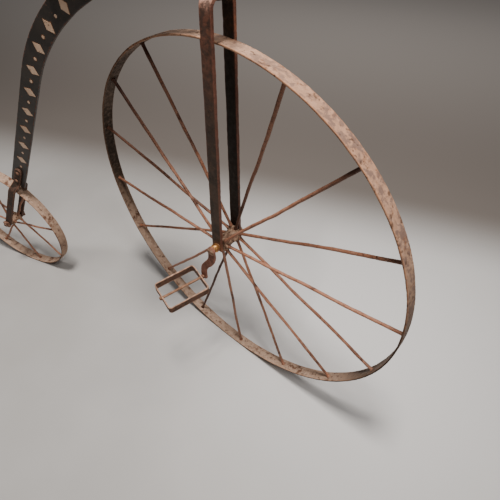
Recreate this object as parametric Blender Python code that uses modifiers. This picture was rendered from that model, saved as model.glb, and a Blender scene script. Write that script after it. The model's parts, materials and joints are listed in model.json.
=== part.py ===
"""Wrought-iron penny-farthing, about two thirds of rideable size.

A tall front wheel turns in a fork bent from one flat bar. A flat-bar backbone follows the wheel's curve
from the head down to a small rear wheel. The right crank carries a pedal made of a flat-bar loop.

Metres, +Z up. The origin is where the front wheel's tread meets the ground, straight under the steering
axis. The backbone lies in the XZ plane and the cycle faces +X, with its front wheel steered to the right.
"""

import math

import bmesh
import bpy
from mathutils import Vector

# ---- driving dimensions ------------------------------------------------------------------------
FRONT_RADIUS = 0.381
REAR_RADIUS = 0.172
WHEELBASE = 0.703
STEER_ANGLE = math.radians(-17)
GAP = 0.0003  # between pieces that touch

# wheels: flat hoops with round-bar spokes welded in
RIM_WIDTH = 0.0254
RIM_THICKNESS = 0.003
FRONT_RIM_FACETS = 90
REAR_RIM_FACETS = 50
FRONT_SPOKES = 16
REAR_SPOKES = 8
FIRST_SPOKE_ANGLE = math.radians(5)
FRONT_SPOKE_RADIUS = 0.003175
REAR_SPOKE_RADIUS = 0.0028
SPOKE_END_GAP = 0.0005
SPOKE_SIDES = 10

# front hub and axle
AXLE_RADIUS = 0.0065
HUB_BARREL_RADIUS = 0.0155
HUB_FLANGE_RADIUS = 0.018
HUB_FLANGE_OFFSET = 0.019
HUB_FLANGE_WIDTH = 0.008
HUB_NECK_RADIUS = 0.0115
AXLE_END = 0.0385
RIVET_HEAD_HEIGHT = 0.003
RIVET_HEAD_RADIUS = 0.0095

# fork: one flat bar bent into an inverted U whose legs spread towards the axle
LEG_SPACING = 0.0555  # at the axle
CROWN_LEG_SPACING = 0.0425
FORK_PARALLEL_BELOW = 0.022  # above the axle
FORK_THICKNESS = 0.006
FORK_CROWN_WIDTH = 0.0212
FORK_FOOT_WIDTH = 0.0255
FORK_FOOT_DROP = 0.013
FORK_FOOT_BACK = 0.0035  # the legs lean back a little towards their feet
CROWN_UNDERSIDE = 0.429  # above the axle
FORK_BEND_RADIUS = 0.010  # inside

# steering head
STEM_RADIUS = 0.008
STEM_HEAD_RADIUS = 0.0105
STEM_HEAD_HEIGHT = 0.003
WASHER_THICKNESS = 0.003
WASHER_RADIUS = 0.0135
HEAD_TUBE_LENGTH = 0.07
HEAD_TUBE_RADIUS = 0.0125
LUG_SIZE = (0.042, 0.03, 0.024)
LUG_FORWARD = 0.0075  # middle of the lug ahead of the stem
BAR_FORWARD = 0.0195
NUT_WIDTH = 0.024
NUT_HEIGHT = 0.009
STEM_SHOWING = 0.004

# handlebar
BAR_RADIUS = 0.0063
BAR_STRAIGHT = 0.03  # on each side of the lug's middle
BAR_HALF_WIDTH = 0.19  # as far as the grips
BAR_SWEEP = 0.06
BAR_DROP = 0.03
GRIP_LENGTH = 0.085
GRIP_RADIUS = 0.0125
GRIP_SOCKET = 0.03

# crank and pedal, right side only
BOSS_RADIUS = 0.0108
CRANK_INNER_FACE = 0.0468  # from the wheel's middle plane
CRANK_THICKNESS = 0.005
CRANK_LENGTH = 0.105
CRANK_ANGLE = math.radians(16.2)  # behind straight down
CRANK_WAVE = 0.006
CRANK_EYE_WIDTH = 0.0185
CRANK_TIP_WIDTH = 0.0145
PIN_RADIUS = 0.003
PIN_HOLE_RADIUS = 0.0042
PIN_YAW = math.radians(15.7)  # the outer end points backwards
PIN_DROP = math.radians(2.5)  # and a little down
PIN_HEAD_RADIUS = 0.0052
PIN_HEAD_HEIGHT = 0.0045
COLLAR_RADIUS = 0.0052
PEDAL_START = 0.0087  # from the crank's middle to the loop's near face
PEDAL_LENGTH = 0.097
PEDAL_WIDTH = 0.0765
PEDAL_ROLL = math.radians(2.7)
PEDAL_BAR_HEIGHT = 0.019
PEDAL_BAR_LOWERED = 0.0032  # middle of the bar below the pin
PEDAL_BAR_THICKNESS = 0.0028
PEDAL_CORNER_RADIUS = 0.006

# backbone: flat bar on edge, an arc around the front wheel and then a straight tail
BACKBONE_INNER_RADIUS = 1.18 * FRONT_RADIUS
BACKBONE_DEPTH = 0.0381
BACKBONE_THICKNESS = 0.005
BACKBONE_TAIL_END = 0.195  # from the rear axle
BACKBONE_ARC_STEPS = 26

# rear fork blades, riveted to both sides of the backbone's tail
BLADE_THICKNESS = 0.005
BLADE_WIDTH = 0.018
BLADE_START = 0.262  # from the rear axle
BLADE_JOGGLE_START = 0.204
BLADE_JOGGLE_END = 0.176
BLADE_END = 0.014  # past the rear axle
BLADE_INNER_FACE = 0.019
BLADE_RIVETS = (0.248, 0.216)
RIVET_RADIUS = 0.003

# rear hub and axle
REAR_AXLE_RADIUS = 0.005
REAR_HUB_BARREL_RADIUS = 0.010
REAR_HUB_FLANGE_RADIUS = 0.0135
REAR_HUB_FLANGE_OFFSET = 0.0115
REAR_HUB_FLANGE_WIDTH = 0.006
REAR_NUT_WIDTH = 0.016
REAR_NUT_THICKNESS = 0.007
REAR_AXLE_SHOWING = 0.003

# saddle on an arched leaf spring
CLIP_THICKNESS = 0.003
CLIP_WIDTH = 0.024
CLIP_DROP = 0.024
CLIP_X = -0.052
CLIP_RIVET_DEPTH = 0.014  # below the backbone's upper edge
SPRING_WIDTH = 0.024
SPRING_THICKNESS = 0.004
SPRING_FOOT = 0.012  # half length of the straight stretch at each end
SPRING_REAR_X = -0.268
SEAT_FRONT_X = -0.105
SEAT_REAR_X = -0.185
SEAT_RISE = 0.05  # above the clip
SADDLE_LENGTH = 0.19
SADDLE_NOSE_X = -0.05
SADDLE_NOSE_WIDTH = 0.038
SADDLE_REAR_WIDTH = 0.14
SADDLE_THICKNESS = 0.003
SADDLE_RIVET_XS = (-0.12, -0.17)

ROUND = math.radians(90)

# ---- scene and materials -----------------------------------------------------------------------


def clear_scene():
    for obj in list(bpy.data.objects):
        bpy.data.objects.remove(obj, do_unlink=True)


def new_collection(name):
    made = bpy.data.collections.new(name)
    bpy.context.scene.collection.children.link(made)
    return made


def principled(name, finish):
    colour, roughness, metallic = finish
    material = bpy.data.materials.new(name)
    material.use_nodes = True
    shader = material.node_tree.nodes["Principled BSDF"]
    shader.inputs["Base Color"].default_value = (*colour, 1)
    shader.inputs["Roughness"].default_value = roughness
    shader.inputs["Metallic"].default_value = metallic
    return material


clear_scene()
PARTS = new_collection("penny_farthing")
CUTTERS = new_collection("cutters")

# colour, roughness and metallic value of each finish
RUST = ((0.20, 0.105, 0.07), 0.85, 0.2)
DARK_IRON = ((0.05, 0.04, 0.033), 0.7, 0.4)
PAINTED = ((0.03, 0.024, 0.02), 0.6, 0.1)
BRASS = ((0.60, 0.34, 0.10), 0.45, 0.9)


def pivot(name, location=(0, 0, 0), rotation=(0, 0, 0), parent=None):
    """An empty on a joint's axis. What it carries is placed from it."""
    empty = bpy.data.objects.new(name, None)
    empty.empty_display_size = 0.03
    empty.location = location
    empty.rotation_euler = rotation
    empty.parent = parent
    PARTS.objects.link(empty)
    return empty


def place(obj, parent, finish, location=(0, 0, 0), rotation=(0, 0, 0)):
    obj.location = location
    obj.rotation_euler = rotation
    obj.parent = parent
    obj.data.materials.clear()
    obj.data.materials.append(principled(obj.name + "_finish", finish))
    return obj


def object_of(name, mesh):
    obj = bpy.data.objects.new(name, mesh)
    PARTS.objects.link(obj)
    return obj


# ---- shapes ------------------------------------------------------------------------------------


def smooth(mesh, degrees=40):
    mesh.shade_smooth()
    mesh.set_sharp_from_angle(angle=math.radians(degrees))


def arc(centre, radius, start, end, steps):
    """Points from angle start to angle end, both included."""
    angles = [start + (end - start) * i / steps for i in range(steps + 1)]
    return [(centre[0] + radius * math.cos(a), centre[1] + radius * math.sin(a)) for a in angles]


def circle(centre, radius, steps=20):
    return arc(centre, radius, 0, 2 * math.pi, steps)[:-1]


def turned(name, profile, segments, closed=False):
    """A Screw modifier turns (radius, height) points around local Z. The outer side runs downwards."""
    mesh = bpy.data.meshes.new(name)
    last = len(profile)
    edges = [(i, (i + 1) % last) for i in range(last if closed else last - 1)]
    mesh.from_pydata([(r, 0, h) for r, h in profile], edges, [])
    obj = object_of(name, mesh)
    screw = obj.modifiers.new("turn", "SCREW")
    screw.axis = "Z"
    screw.steps = segments
    screw.render_steps = segments
    screw.use_merge_vertices = True
    screw.merge_threshold = 0.00001
    screw.use_smooth_shade = True
    return obj


def ring(name, inner, outer, bottom, top, segments=28):
    profile = [(outer, top), (outer, bottom), (inner, bottom), (inner, top)]
    return turned(name, profile, segments, closed=True)


def curve_to_mesh(obj):
    """The evaluated curve as a mesh object of the same name, with its caps welded on."""
    mesh = bpy.data.meshes.new_from_object(obj.evaluated_get(bpy.context.evaluated_depsgraph_get()))
    name = obj.name
    bpy.data.objects.remove(obj)
    work = bmesh.new()
    work.from_mesh(mesh)
    bmesh.ops.remove_doubles(work, verts=work.verts, dist=0.000001)
    work.to_mesh(mesh)
    work.free()
    made = object_of(name, mesh)
    made.data.name = name
    return made


def flat(name, outlines, thickness):
    """A flat piece in the local XY plane. Outlines after the first are holes."""
    curve = bpy.data.curves.new(name, "CURVE")
    curve.dimensions = "2D"
    curve.fill_mode = "BOTH"
    curve.extrude = thickness / 2
    for outline in outlines:
        spline = curve.splines.new("POLY")
        spline.points.add(len(outline) - 1)
        for point, (x, y) in zip(spline.points, outline):
            point.co = (x, y, 0, 1)
        spline.use_cyclic_u = True
    obj = bpy.data.objects.new(name, curve)
    PARTS.objects.link(obj)
    bpy.context.view_layer.update()
    return curve_to_mesh(obj)


def band(path, thickness, closed=False):
    """The outline of a bar bent along a path, as one offset on each side of it."""
    sides = ([], [])
    count = len(path)
    for i, point in enumerate(path):
        before = Vector(path[i - 1] if closed or i > 0 else point)
        after = Vector(path[(i + 1) % count] if closed or i < count - 1 else point)
        here = Vector(point)
        incoming = (here - before).normalized() if here != before else (after - here).normalized()
        outgoing = (after - here).normalized() if after != here else incoming
        along = (incoming + outgoing).normalized()
        stretch = 1 / max(along.dot(outgoing), 0.5)
        offset = Vector((-along.y, along.x)) * thickness / 2 * stretch
        sides[0].append(tuple(here + offset))
        sides[1].append(tuple(here - offset))
    return sides


def rounded_rectangle(width, length, radius, steps=5):
    half_width = width / 2 - radius
    half_length = length / 2 - radius
    centres = ((half_width, half_length), (-half_width, half_length))
    centres += ((-half_width, -half_length), (half_width, -half_length))
    points = []
    for quarter, centre in enumerate(centres):
        start = quarter * math.pi / 2
        points += arc(centre, radius, start, start + math.pi / 2, steps)
    return points


def round_bar(name, points, radius):
    curve = bpy.data.curves.new(name, "CURVE")
    curve.dimensions = "3D"
    curve.bevel_depth = radius
    curve.bevel_resolution = 3
    curve.use_fill_caps = True
    spline = curve.splines.new("POLY")
    spline.points.add(len(points) - 1)
    for point, place_of in zip(spline.points, points):
        point.co = (*place_of, 1)
    obj = bpy.data.objects.new(name, curve)
    PARTS.objects.link(obj)
    bpy.context.view_layer.update()
    return curve_to_mesh(obj)


def drill(obj, radius, length, location, rotation=(0, 0, 0)):
    """Cuts a round hole. Location and rotation are in the frame of the piece's own parent."""
    work = bmesh.new()
    bmesh.ops.create_cone(work, cap_ends=True, segments=24, radius1=radius, radius2=radius, depth=length)
    mesh = bpy.data.meshes.new(obj.name + "_hole")
    work.to_mesh(mesh)
    work.free()
    cutter = bpy.data.objects.new(obj.name + "_hole", mesh)
    CUTTERS.objects.link(cutter)
    cutter.parent = obj.parent
    cutter.location = location
    cutter.rotation_euler = rotation
    cutter.hide_render = True
    cutter.display_type = "WIRE"
    cut = obj.modifiers.new("hole", "BOOLEAN")
    cut.operation = "DIFFERENCE"
    cut.solver = "EXACT"
    cut.object = cutter


# ---- wheels ------------------------------------------------------------------------------------


def rim(name, radius, facets, parent):
    """A flat hoop. Its facets touch the true circle at their middles, so it stands on one of them."""
    outer = radius / math.cos(math.pi / facets)
    inner = outer - RIM_THICKNESS
    hoop = ring(name, inner, outer, -RIM_WIDTH / 2, RIM_WIDTH / 2, facets)
    return place(hoop, parent, RUST, rotation=(ROUND, 0, 0))


def spokes(name, count, bar_radius, hub_radius, hub_offset, rim_radius, parent):
    """Straight bars that go by turns from the right and the left flange to the rim's middle line."""
    inner = hub_radius + SPOKE_END_GAP
    outer = rim_radius - RIM_THICKNESS - SPOKE_END_GAP
    length = math.hypot(outer - inner, hub_offset)
    work = bmesh.new()
    bmesh.ops.create_cone(
        work, cap_ends=True, segments=SPOKE_SIDES, radius1=bar_radius, radius2=bar_radius, depth=length
    )
    mesh = bpy.data.meshes.new(name)
    work.to_mesh(mesh)
    work.free()
    smooth(mesh)
    mesh.materials.append(principled(name + "_finish", RUST))
    for i in range(count):
        angle = FIRST_SPOKE_ANGLE + i * 2 * math.pi / count
        out = Vector((math.cos(angle), 0, math.sin(angle)))
        side = -1 if i % 2 == 0 else 1
        foot = out * inner + Vector((0, side * hub_offset, 0))
        tip = out * outer
        bar = object_of(f"{name}_{i + 1:02d}", mesh)
        bar.location = (foot + tip) / 2
        bar.rotation_euler = (tip - foot).to_track_quat("Z", "Y").to_euler()
        bar.parent = parent


def hub_profile(bore, barrel, flange, flange_offset, flange_width, neck, half_length):
    """A barrel with two flanges and a neck at each end, as a closed profile down the outer side."""
    inner_edge = flange_offset - flange_width / 2
    outer_edge = flange_offset + flange_width / 2
    upper = [(neck, half_length), (neck, outer_edge), (flange, outer_edge), (flange, inner_edge)]
    upper.append((barrel, inner_edge))
    lower = [(radius, -height) for radius, height in reversed(upper)]
    return upper + lower + [(bore, -half_length), (bore, half_length)]


def make_front_wheel(parent):
    rim("front_rim", FRONT_RADIUS, FRONT_RIM_FACETS, parent)
    spokes(
        "front_spoke",
        FRONT_SPOKES,
        FRONT_SPOKE_RADIUS,
        HUB_FLANGE_RADIUS,
        HUB_FLANGE_OFFSET,
        FRONT_RADIUS,
        parent,
    )
    half_length = (LEG_SPACING - FORK_THICKNESS) / 2 - GAP
    profile = hub_profile(
        AXLE_RADIUS + GAP,
        HUB_BARREL_RADIUS,
        HUB_FLANGE_RADIUS,
        HUB_FLANGE_OFFSET,
        HUB_FLANGE_WIDTH,
        HUB_NECK_RADIUS,
        half_length,
    )
    place(turned("front_hub", profile, 32, closed=True), parent, RUST, rotation=(ROUND, 0, 0))

    crank_outer_face = CRANK_INNER_FACE + CRANK_THICKNESS
    head_foot = crank_outer_face + GAP
    leg_outer_face = (LEG_SPACING + FORK_THICKNESS) / 2
    far_head_foot = -(leg_outer_face + GAP)
    axle = [
        (0, head_foot + RIVET_HEAD_HEIGHT),
        (RIVET_HEAD_RADIUS * 0.6, head_foot + RIVET_HEAD_HEIGHT),
        (RIVET_HEAD_RADIUS, head_foot),
        (AXLE_RADIUS, head_foot),
        (AXLE_RADIUS, far_head_foot),
        (RIVET_HEAD_RADIUS, far_head_foot),
        (RIVET_HEAD_RADIUS * 0.7, -AXLE_END),
        (0, -AXLE_END),
    ]
    place(turned("front_axle", axle, 28), parent, RUST, rotation=(ROUND, 0, 0))
    boss = ring(
        "crank_boss", AXLE_RADIUS + GAP, BOSS_RADIUS, leg_outer_face + GAP, CRANK_INNER_FACE - GAP
    )
    place(boss, parent, BRASS, rotation=(ROUND, 0, 0))


# ---- crank and pedal ---------------------------------------------------------------------------


def crank_outline():
    """An S-shaped bar that narrows from the axle eye to the pedal eye, with round ends.
    The axle eye is at the local origin and the pedal eye straight below it."""
    steps = 16
    width_change = (CRANK_TIP_WIDTH - CRANK_EYE_WIDTH) / 2
    left, right, normals = [], [], []
    for i in range(steps + 1):
        share = i / steps
        phase = 2 * math.pi * share
        slope = CRANK_WAVE * 2 * math.pi / CRANK_LENGTH * math.cos(phase)
        centre = Vector((CRANK_WAVE * math.sin(phase), -CRANK_LENGTH * share))
        normal = Vector((1, slope)).normalized()
        half = CRANK_EYE_WIDTH / 2 + width_change * share
        left.append(centre - normal * half)
        right.append(centre + normal * half)
        normals.append(math.atan2(normal.y, normal.x))
    top = arc((0, 0), CRANK_EYE_WIDTH / 2, normals[0], normals[0] + math.pi, 10)
    tip_centre = (0, -CRANK_LENGTH)
    bottom = arc(tip_centre, CRANK_TIP_WIDTH / 2, normals[-1] + math.pi, normals[-1] + 2 * math.pi, 8)
    outline = top + [tuple(p) for p in left[1:-1]] + bottom
    return outline + [tuple(p) for p in reversed(right[1:-1])]


def make_crank(parent):
    """Returns the middle of the crank's pedal eye. The bar leans backwards about the axle."""
    holes = [circle((0, 0), AXLE_RADIUS + GAP, 24), circle((0, -CRANK_LENGTH), PIN_HOLE_RADIUS, 20)]
    bar = flat("crank_right", [crank_outline()] + holes, CRANK_THICKNESS)
    middle = CRANK_INNER_FACE + CRANK_THICKNESS / 2
    place(bar, parent, RUST, (0, -middle, 0), (ROUND, CRANK_ANGLE, 0))
    return -CRANK_LENGTH * math.sin(CRANK_ANGLE), -middle, -CRANK_LENGTH * math.cos(CRANK_ANGLE)


def make_pedal(parent):
    """The parent stands on the crank's eye, with its local -Y along the pin."""
    far_face = PEDAL_START + PEDAL_LENGTH
    head_foot = far_face + 2 * GAP
    pin = [
        (0, head_foot + PIN_HEAD_HEIGHT),
        (PIN_HEAD_RADIUS * 0.6, head_foot + PIN_HEAD_HEIGHT),
        (PIN_HEAD_RADIUS, head_foot + PIN_HEAD_HEIGHT * 0.4),
        (PIN_HEAD_RADIUS, head_foot),
        (PIN_RADIUS, head_foot),
        (PIN_RADIUS, -CRANK_THICKNESS / 2 - 0.001),
        (0, -CRANK_THICKNESS / 2 - 0.001),
    ]
    place(turned("pedal_pin", pin, 16), parent, RUST, rotation=(ROUND, 0, 0))
    crank_face = (CRANK_THICKNESS / 2 + COLLAR_RADIUS * math.sin(PIN_YAW)) / math.cos(PIN_YAW)
    collar = ring("pedal_collar", PIN_RADIUS + GAP, COLLAR_RADIUS, crank_face + GAP, PEDAL_START - GAP, 16)
    place(collar, parent, RUST, rotation=(ROUND, 0, 0))

    width = PEDAL_WIDTH - PEDAL_BAR_THICKNESS
    length = PEDAL_LENGTH - PEDAL_BAR_THICKNESS
    path = rounded_rectangle(width, length, PEDAL_CORNER_RADIUS)
    outer, inner = band(path, PEDAL_BAR_THICKNESS, closed=True)
    loop = flat("pedal_frame", [outer, inner], PEDAL_BAR_HEIGHT)
    middle = (PEDAL_START + far_face) / 2
    place(loop, parent, RUST, (0, -middle, -PEDAL_BAR_LOWERED), (0, PEDAL_ROLL, 0))
    drill(loop, PIN_RADIUS + GAP, PEDAL_LENGTH + 0.03, (0, -middle, 0), (ROUND, 0, 0))


# ---- fork and steering -------------------------------------------------------------------------


def make_fork(parent):
    """Local origin on the front axle's middle."""
    bend = FORK_BEND_RADIUS + FORK_THICKNESS / 2
    side = CROWN_LEG_SPACING / 2
    crown = CROWN_UNDERSIDE + FORK_THICKNESS / 2
    left_bend = arc((side - bend, crown - bend), bend, math.pi / 2, 0, 6)
    left = left_bend + [(LEG_SPACING / 2, FORK_PARALLEL_BELOW), (LEG_SPACING / 2, -FORK_FOOT_DROP)]
    right = [(-y, z) for y, z in reversed(left)]
    outer, inner = band(right + left, FORK_THICKNESS)
    fork = flat("front_fork", [outer + list(reversed(inner))], FORK_CROWN_WIDTH)
    # the drawing plane's X and Y become the cycle's Y and Z
    place(fork, parent, DARK_IRON, rotation=(ROUND, 0, ROUND))
    widening = FORK_FOOT_WIDTH / FORK_CROWN_WIDTH - 1
    drop = crown - bend + FORK_FOOT_DROP
    for vertex in fork.data.vertices:
        below_bend = max(0, crown - bend - vertex.co.y) / drop
        vertex.co.z = vertex.co.z * (1 + widening * below_bend) - FORK_FOOT_BACK * below_bend
    drill(fork, AXLE_RADIUS + GAP, LEG_SPACING + 0.03, (0, 0, 0), (ROUND, 0, 0))
    drill(fork, STEM_RADIUS + GAP, 0.03, (0, 0, crown))
    return CROWN_UNDERSIDE + FORK_THICKNESS


def make_steering(parent, crown_top):
    """Stem, washers, lug, nut and handlebar, from the crown's top upwards. Returns the head tube's foot."""
    lower_washer = crown_top + GAP
    tube_foot = lower_washer + WASHER_THICKNESS + GAP
    upper_washer = tube_foot + HEAD_TUBE_LENGTH + GAP
    lug_foot = upper_washer + WASHER_THICKNESS + GAP
    nut_foot = lug_foot + LUG_SIZE[2] + GAP
    stem_top = nut_foot + NUT_HEIGHT + STEM_SHOWING
    head_top = CROWN_UNDERSIDE - GAP
    bore = STEM_RADIUS + GAP

    stem = [
        (0, stem_top),
        (STEM_RADIUS - 0.001, stem_top),
        (STEM_RADIUS, stem_top - 0.001),
        (STEM_RADIUS, head_top),
        (STEM_HEAD_RADIUS, head_top),
        (STEM_HEAD_RADIUS * 0.7, head_top - STEM_HEAD_HEIGHT),
        (0, head_top - STEM_HEAD_HEIGHT),
    ]
    place(turned("steering_stem", stem, 28), parent, DARK_IRON)
    for name, foot in (("lower_washer", lower_washer), ("upper_washer", upper_washer)):
        place(ring(name, bore, WASHER_RADIUS, foot, foot + WASHER_THICKNESS), parent, RUST)

    work = bmesh.new()
    bmesh.ops.create_cube(work, size=1)
    bmesh.ops.scale(work, vec=LUG_SIZE, verts=work.verts)
    mesh = bpy.data.meshes.new("handlebar_lug")
    work.to_mesh(mesh)
    work.free()
    lug = object_of("handlebar_lug", mesh)
    lug_middle = lug_foot + LUG_SIZE[2] / 2
    place(lug, parent, DARK_IRON, (LUG_FORWARD, 0, lug_middle))
    edge = lug.modifiers.new("edge", "BEVEL")
    edge.width = 0.003
    edge.segments = 2
    drill(lug, bore, 0.05, (0, 0, lug_middle))
    drill(lug, BAR_RADIUS + GAP, 0.05, (BAR_FORWARD, 0, lug_middle), (ROUND, 0, 0))

    half = NUT_WIDTH / 2
    square = [(-half, -half), (half, -half), (half, half), (-half, half)]
    nut = flat("stem_nut", [square, circle((0, 0), bore, 24)], NUT_HEIGHT)
    place(nut, parent, RUST, (0, 0, nut_foot + NUT_HEIGHT / 2), (0, 0, math.radians(20)))
    make_handlebar(parent, lug_middle)
    return tube_foot


def bar_half(side, height):
    """Middle line of one half of the handlebar, from the lug outwards: straight, then swept back and
    down, then straight again where the grip sits."""
    steps = 11
    bent = BAR_HALF_WIDTH - BAR_STRAIGHT
    points = []
    for i in range(steps + 1):
        share = i / steps
        ease = share * share * (3 - 2 * share)
        back = BAR_FORWARD - BAR_SWEEP * share * share
        points.append(Vector((back, side * (BAR_STRAIGHT + bent * share), height - BAR_DROP * ease)))
    outward = (points[-1] - points[-2]).normalized()
    points.append(points[-1] + outward * GRIP_SOCKET)
    return points, outward


def make_handlebar(parent, height):
    right, right_way = bar_half(-1, height)
    left, left_way = bar_half(1, height)
    place(round_bar("handlebar", right[::-1] + left, BAR_RADIUS), parent, DARK_IRON)
    socket = BAR_RADIUS + GAP
    grip = [
        (0, GRIP_LENGTH),
        (GRIP_RADIUS * 0.55, GRIP_LENGTH - 0.001),
        (GRIP_RADIUS * 0.95, GRIP_LENGTH - 0.008),
        (GRIP_RADIUS, GRIP_LENGTH - 0.018),
        (GRIP_RADIUS * 0.86, GRIP_LENGTH * 0.45),
        (GRIP_RADIUS * 0.72, 0.008),
        (GRIP_RADIUS * 0.80, 0),
        (socket, 0),
        (socket, GRIP_SOCKET),
        (0, GRIP_SOCKET),
    ]
    for name, end, outward in (("grip_right", right[-1], right_way), ("grip_left", left[-1], left_way)):
        foot = end - outward * (GRIP_SOCKET - GAP)
        place(turned(name, grip, 20), parent, RUST, foot, outward.to_track_quat("Z", "Y").to_euler())


# ---- backbone, rear fork and rear wheel ---------------------------------------------------------

HUB = Vector((0, FRONT_RADIUS))  # front axle in the XZ plane
REAR_HUB = Vector((-WHEELBASE, REAR_RADIUS))


def tail_angle():
    """The angle, seen from the front axle, where the backbone's arc meets its straight tail."""
    middle = BACKBONE_INNER_RADIUS + BACKBONE_DEPTH / 2
    to_rear = REAR_HUB - HUB
    return math.atan2(to_rear.y, to_rear.x) % (2 * math.pi) - math.acos(middle / to_rear.length)


def make_backbone():
    inner = BACKBONE_INNER_RADIUS
    outer = inner + BACKBONE_DEPTH
    front_x = -(HEAD_TUBE_RADIUS + GAP)
    end = tail_angle()
    lower = arc(HUB, inner, math.acos(front_x / inner), end, BACKBONE_ARC_STEPS)
    upper = arc(HUB, outer, math.acos(front_x / outer), end, BACKBONE_ARC_STEPS)
    backwards = Vector((-math.sin(end), math.cos(end)))
    across = Vector((math.cos(end), math.sin(end)))
    half = BACKBONE_DEPTH / 2
    tail = REAR_HUB - backwards * BACKBONE_TAIL_END
    outline = lower + [tuple(tail - across * half), tuple(tail + across * half)] + upper[::-1]
    holes = [circle(REAR_HUB - backwards * d, RIVET_RADIUS + GAP, 14) for d in BLADE_RIVETS]
    holes.append(circle(on_backbone(CLIP_X, 0, -CLIP_RIVET_DEPTH), RIVET_RADIUS + GAP, 14))
    bar = flat("backbone", [outline] + holes, BACKBONE_THICKNESS)
    place(bar, None, PAINTED, rotation=(ROUND, 0, 0))
    return backwards


BACKBONE_OUTER_RADIUS = BACKBONE_INNER_RADIUS + BACKBONE_DEPTH


def on_backbone(x, along, above):
    """A point in the XZ plane, measured along and above the backbone's upper edge from where it is at x."""
    lean = math.asin(-x / BACKBONE_OUTER_RADIUS)
    outwards = Vector((-math.sin(lean), math.cos(lean)))
    backwards = Vector((-math.cos(lean), -math.sin(lean)))
    return HUB + outwards * (BACKBONE_OUTER_RADIUS + above) + backwards * along


def through_rivet(name, half_grip, location, rotation=(ROUND, 0, 0)):
    """A rivet with a low round head on each side of what it grips."""
    upper = [
        (0, half_grip + 0.0025),
        (RIVET_RADIUS, half_grip + 0.002),
        (RIVET_RADIUS * 1.8, half_grip),
        (RIVET_RADIUS, half_grip),
    ]
    lower = [(radius, -height) for radius, height in reversed(upper)]
    place(turned(name, upper + lower, 14), None, RUST, location, rotation)


def make_rear_fork(backwards):
    """Both blades lie along the backbone's tail, step outwards and run past the wheel to its axle."""
    clamp = BACKBONE_THICKNESS / 2 + GAP + BLADE_THICKNESS / 2
    wide = BLADE_INNER_FACE + BLADE_THICKNESS / 2
    path = [(-BLADE_START, clamp), (-BLADE_JOGGLE_START, clamp)]
    path += [(-BLADE_JOGGLE_END, wide), (BLADE_END, wide)]
    lean = math.atan2(backwards.y, backwards.x)
    for name, side in (("rear_fork_right", -1), ("rear_fork_left", 1)):
        mirrored = [(x, y * side) for x, y in path]
        one, other = band(mirrored, BLADE_THICKNESS)
        blade = flat(name, [one + other[::-1]], BLADE_WIDTH)
        mount = pivot(name + "_line", (REAR_HUB.x, 0, REAR_HUB.y), (0, -lean, 0))
        place(blade, mount, DARK_IRON)
        drill(blade, REAR_AXLE_RADIUS + GAP, 0.08, (0, 0, 0), (ROUND, 0, 0))
        for distance in BLADE_RIVETS:
            drill(blade, RIVET_RADIUS + GAP, 0.03, (-distance, side * clamp, 0), (ROUND, 0, 0))
    for i, distance in enumerate(BLADE_RIVETS):
        spot = REAR_HUB - backwards * distance
        through_rivet(f"rear_fork_rivet_{i + 1}", clamp + BLADE_THICKNESS / 2 + GAP, (spot.x, 0, spot.y))


def make_rear_wheel(parent):
    rim("rear_rim", REAR_RADIUS, REAR_RIM_FACETS, parent)
    spokes(
        "rear_spoke",
        REAR_SPOKES,
        REAR_SPOKE_RADIUS,
        REAR_HUB_FLANGE_RADIUS,
        REAR_HUB_FLANGE_OFFSET,
        REAR_RADIUS,
        parent,
    )
    profile = hub_profile(
        REAR_AXLE_RADIUS + GAP,
        REAR_HUB_BARREL_RADIUS,
        REAR_HUB_FLANGE_RADIUS,
        REAR_HUB_FLANGE_OFFSET,
        REAR_HUB_FLANGE_WIDTH,
        REAR_AXLE_RADIUS + 0.003,
        BLADE_INNER_FACE - GAP,
    )
    place(turned("rear_hub", profile, 28, closed=True), parent, RUST, rotation=(ROUND, 0, 0))


def make_rear_axle():
    nut_foot = BLADE_INNER_FACE + BLADE_THICKNESS + GAP
    end = nut_foot + REAR_NUT_THICKNESS + REAR_AXLE_SHOWING
    profile = [(0, end), (REAR_AXLE_RADIUS, end), (REAR_AXLE_RADIUS, -end), (0, -end)]
    place(turned("rear_axle", profile, 20), None, RUST, (REAR_HUB.x, 0, REAR_HUB.y), (ROUND, 0, 0))
    half = REAR_NUT_WIDTH / 2
    square = [(-half, -half), (half, -half), (half, half), (-half, half)]
    for name, side in (("rear_nut_right", -1), ("rear_nut_left", 1)):
        nut = flat(name, [square, circle((0, 0), REAR_AXLE_RADIUS + GAP)], REAR_NUT_THICKNESS)
        middle = side * (nut_foot + REAR_NUT_THICKNESS / 2)
        place(nut, None, RUST, (REAR_HUB.x, middle, REAR_HUB.y), (ROUND, 0, 0))


# ---- saddle ------------------------------------------------------------------------------------


def bezier(start, handle, other_handle, end, steps):
    """Points of a Bezier curve, without the first one."""
    points = []
    for i in range(1, steps + 1):
        t = i / steps
        u = 1 - t
        points.append(start * u**3 + handle * 3 * u * u * t + other_handle * 3 * u * t * t + end * t**3)
    return points


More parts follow.
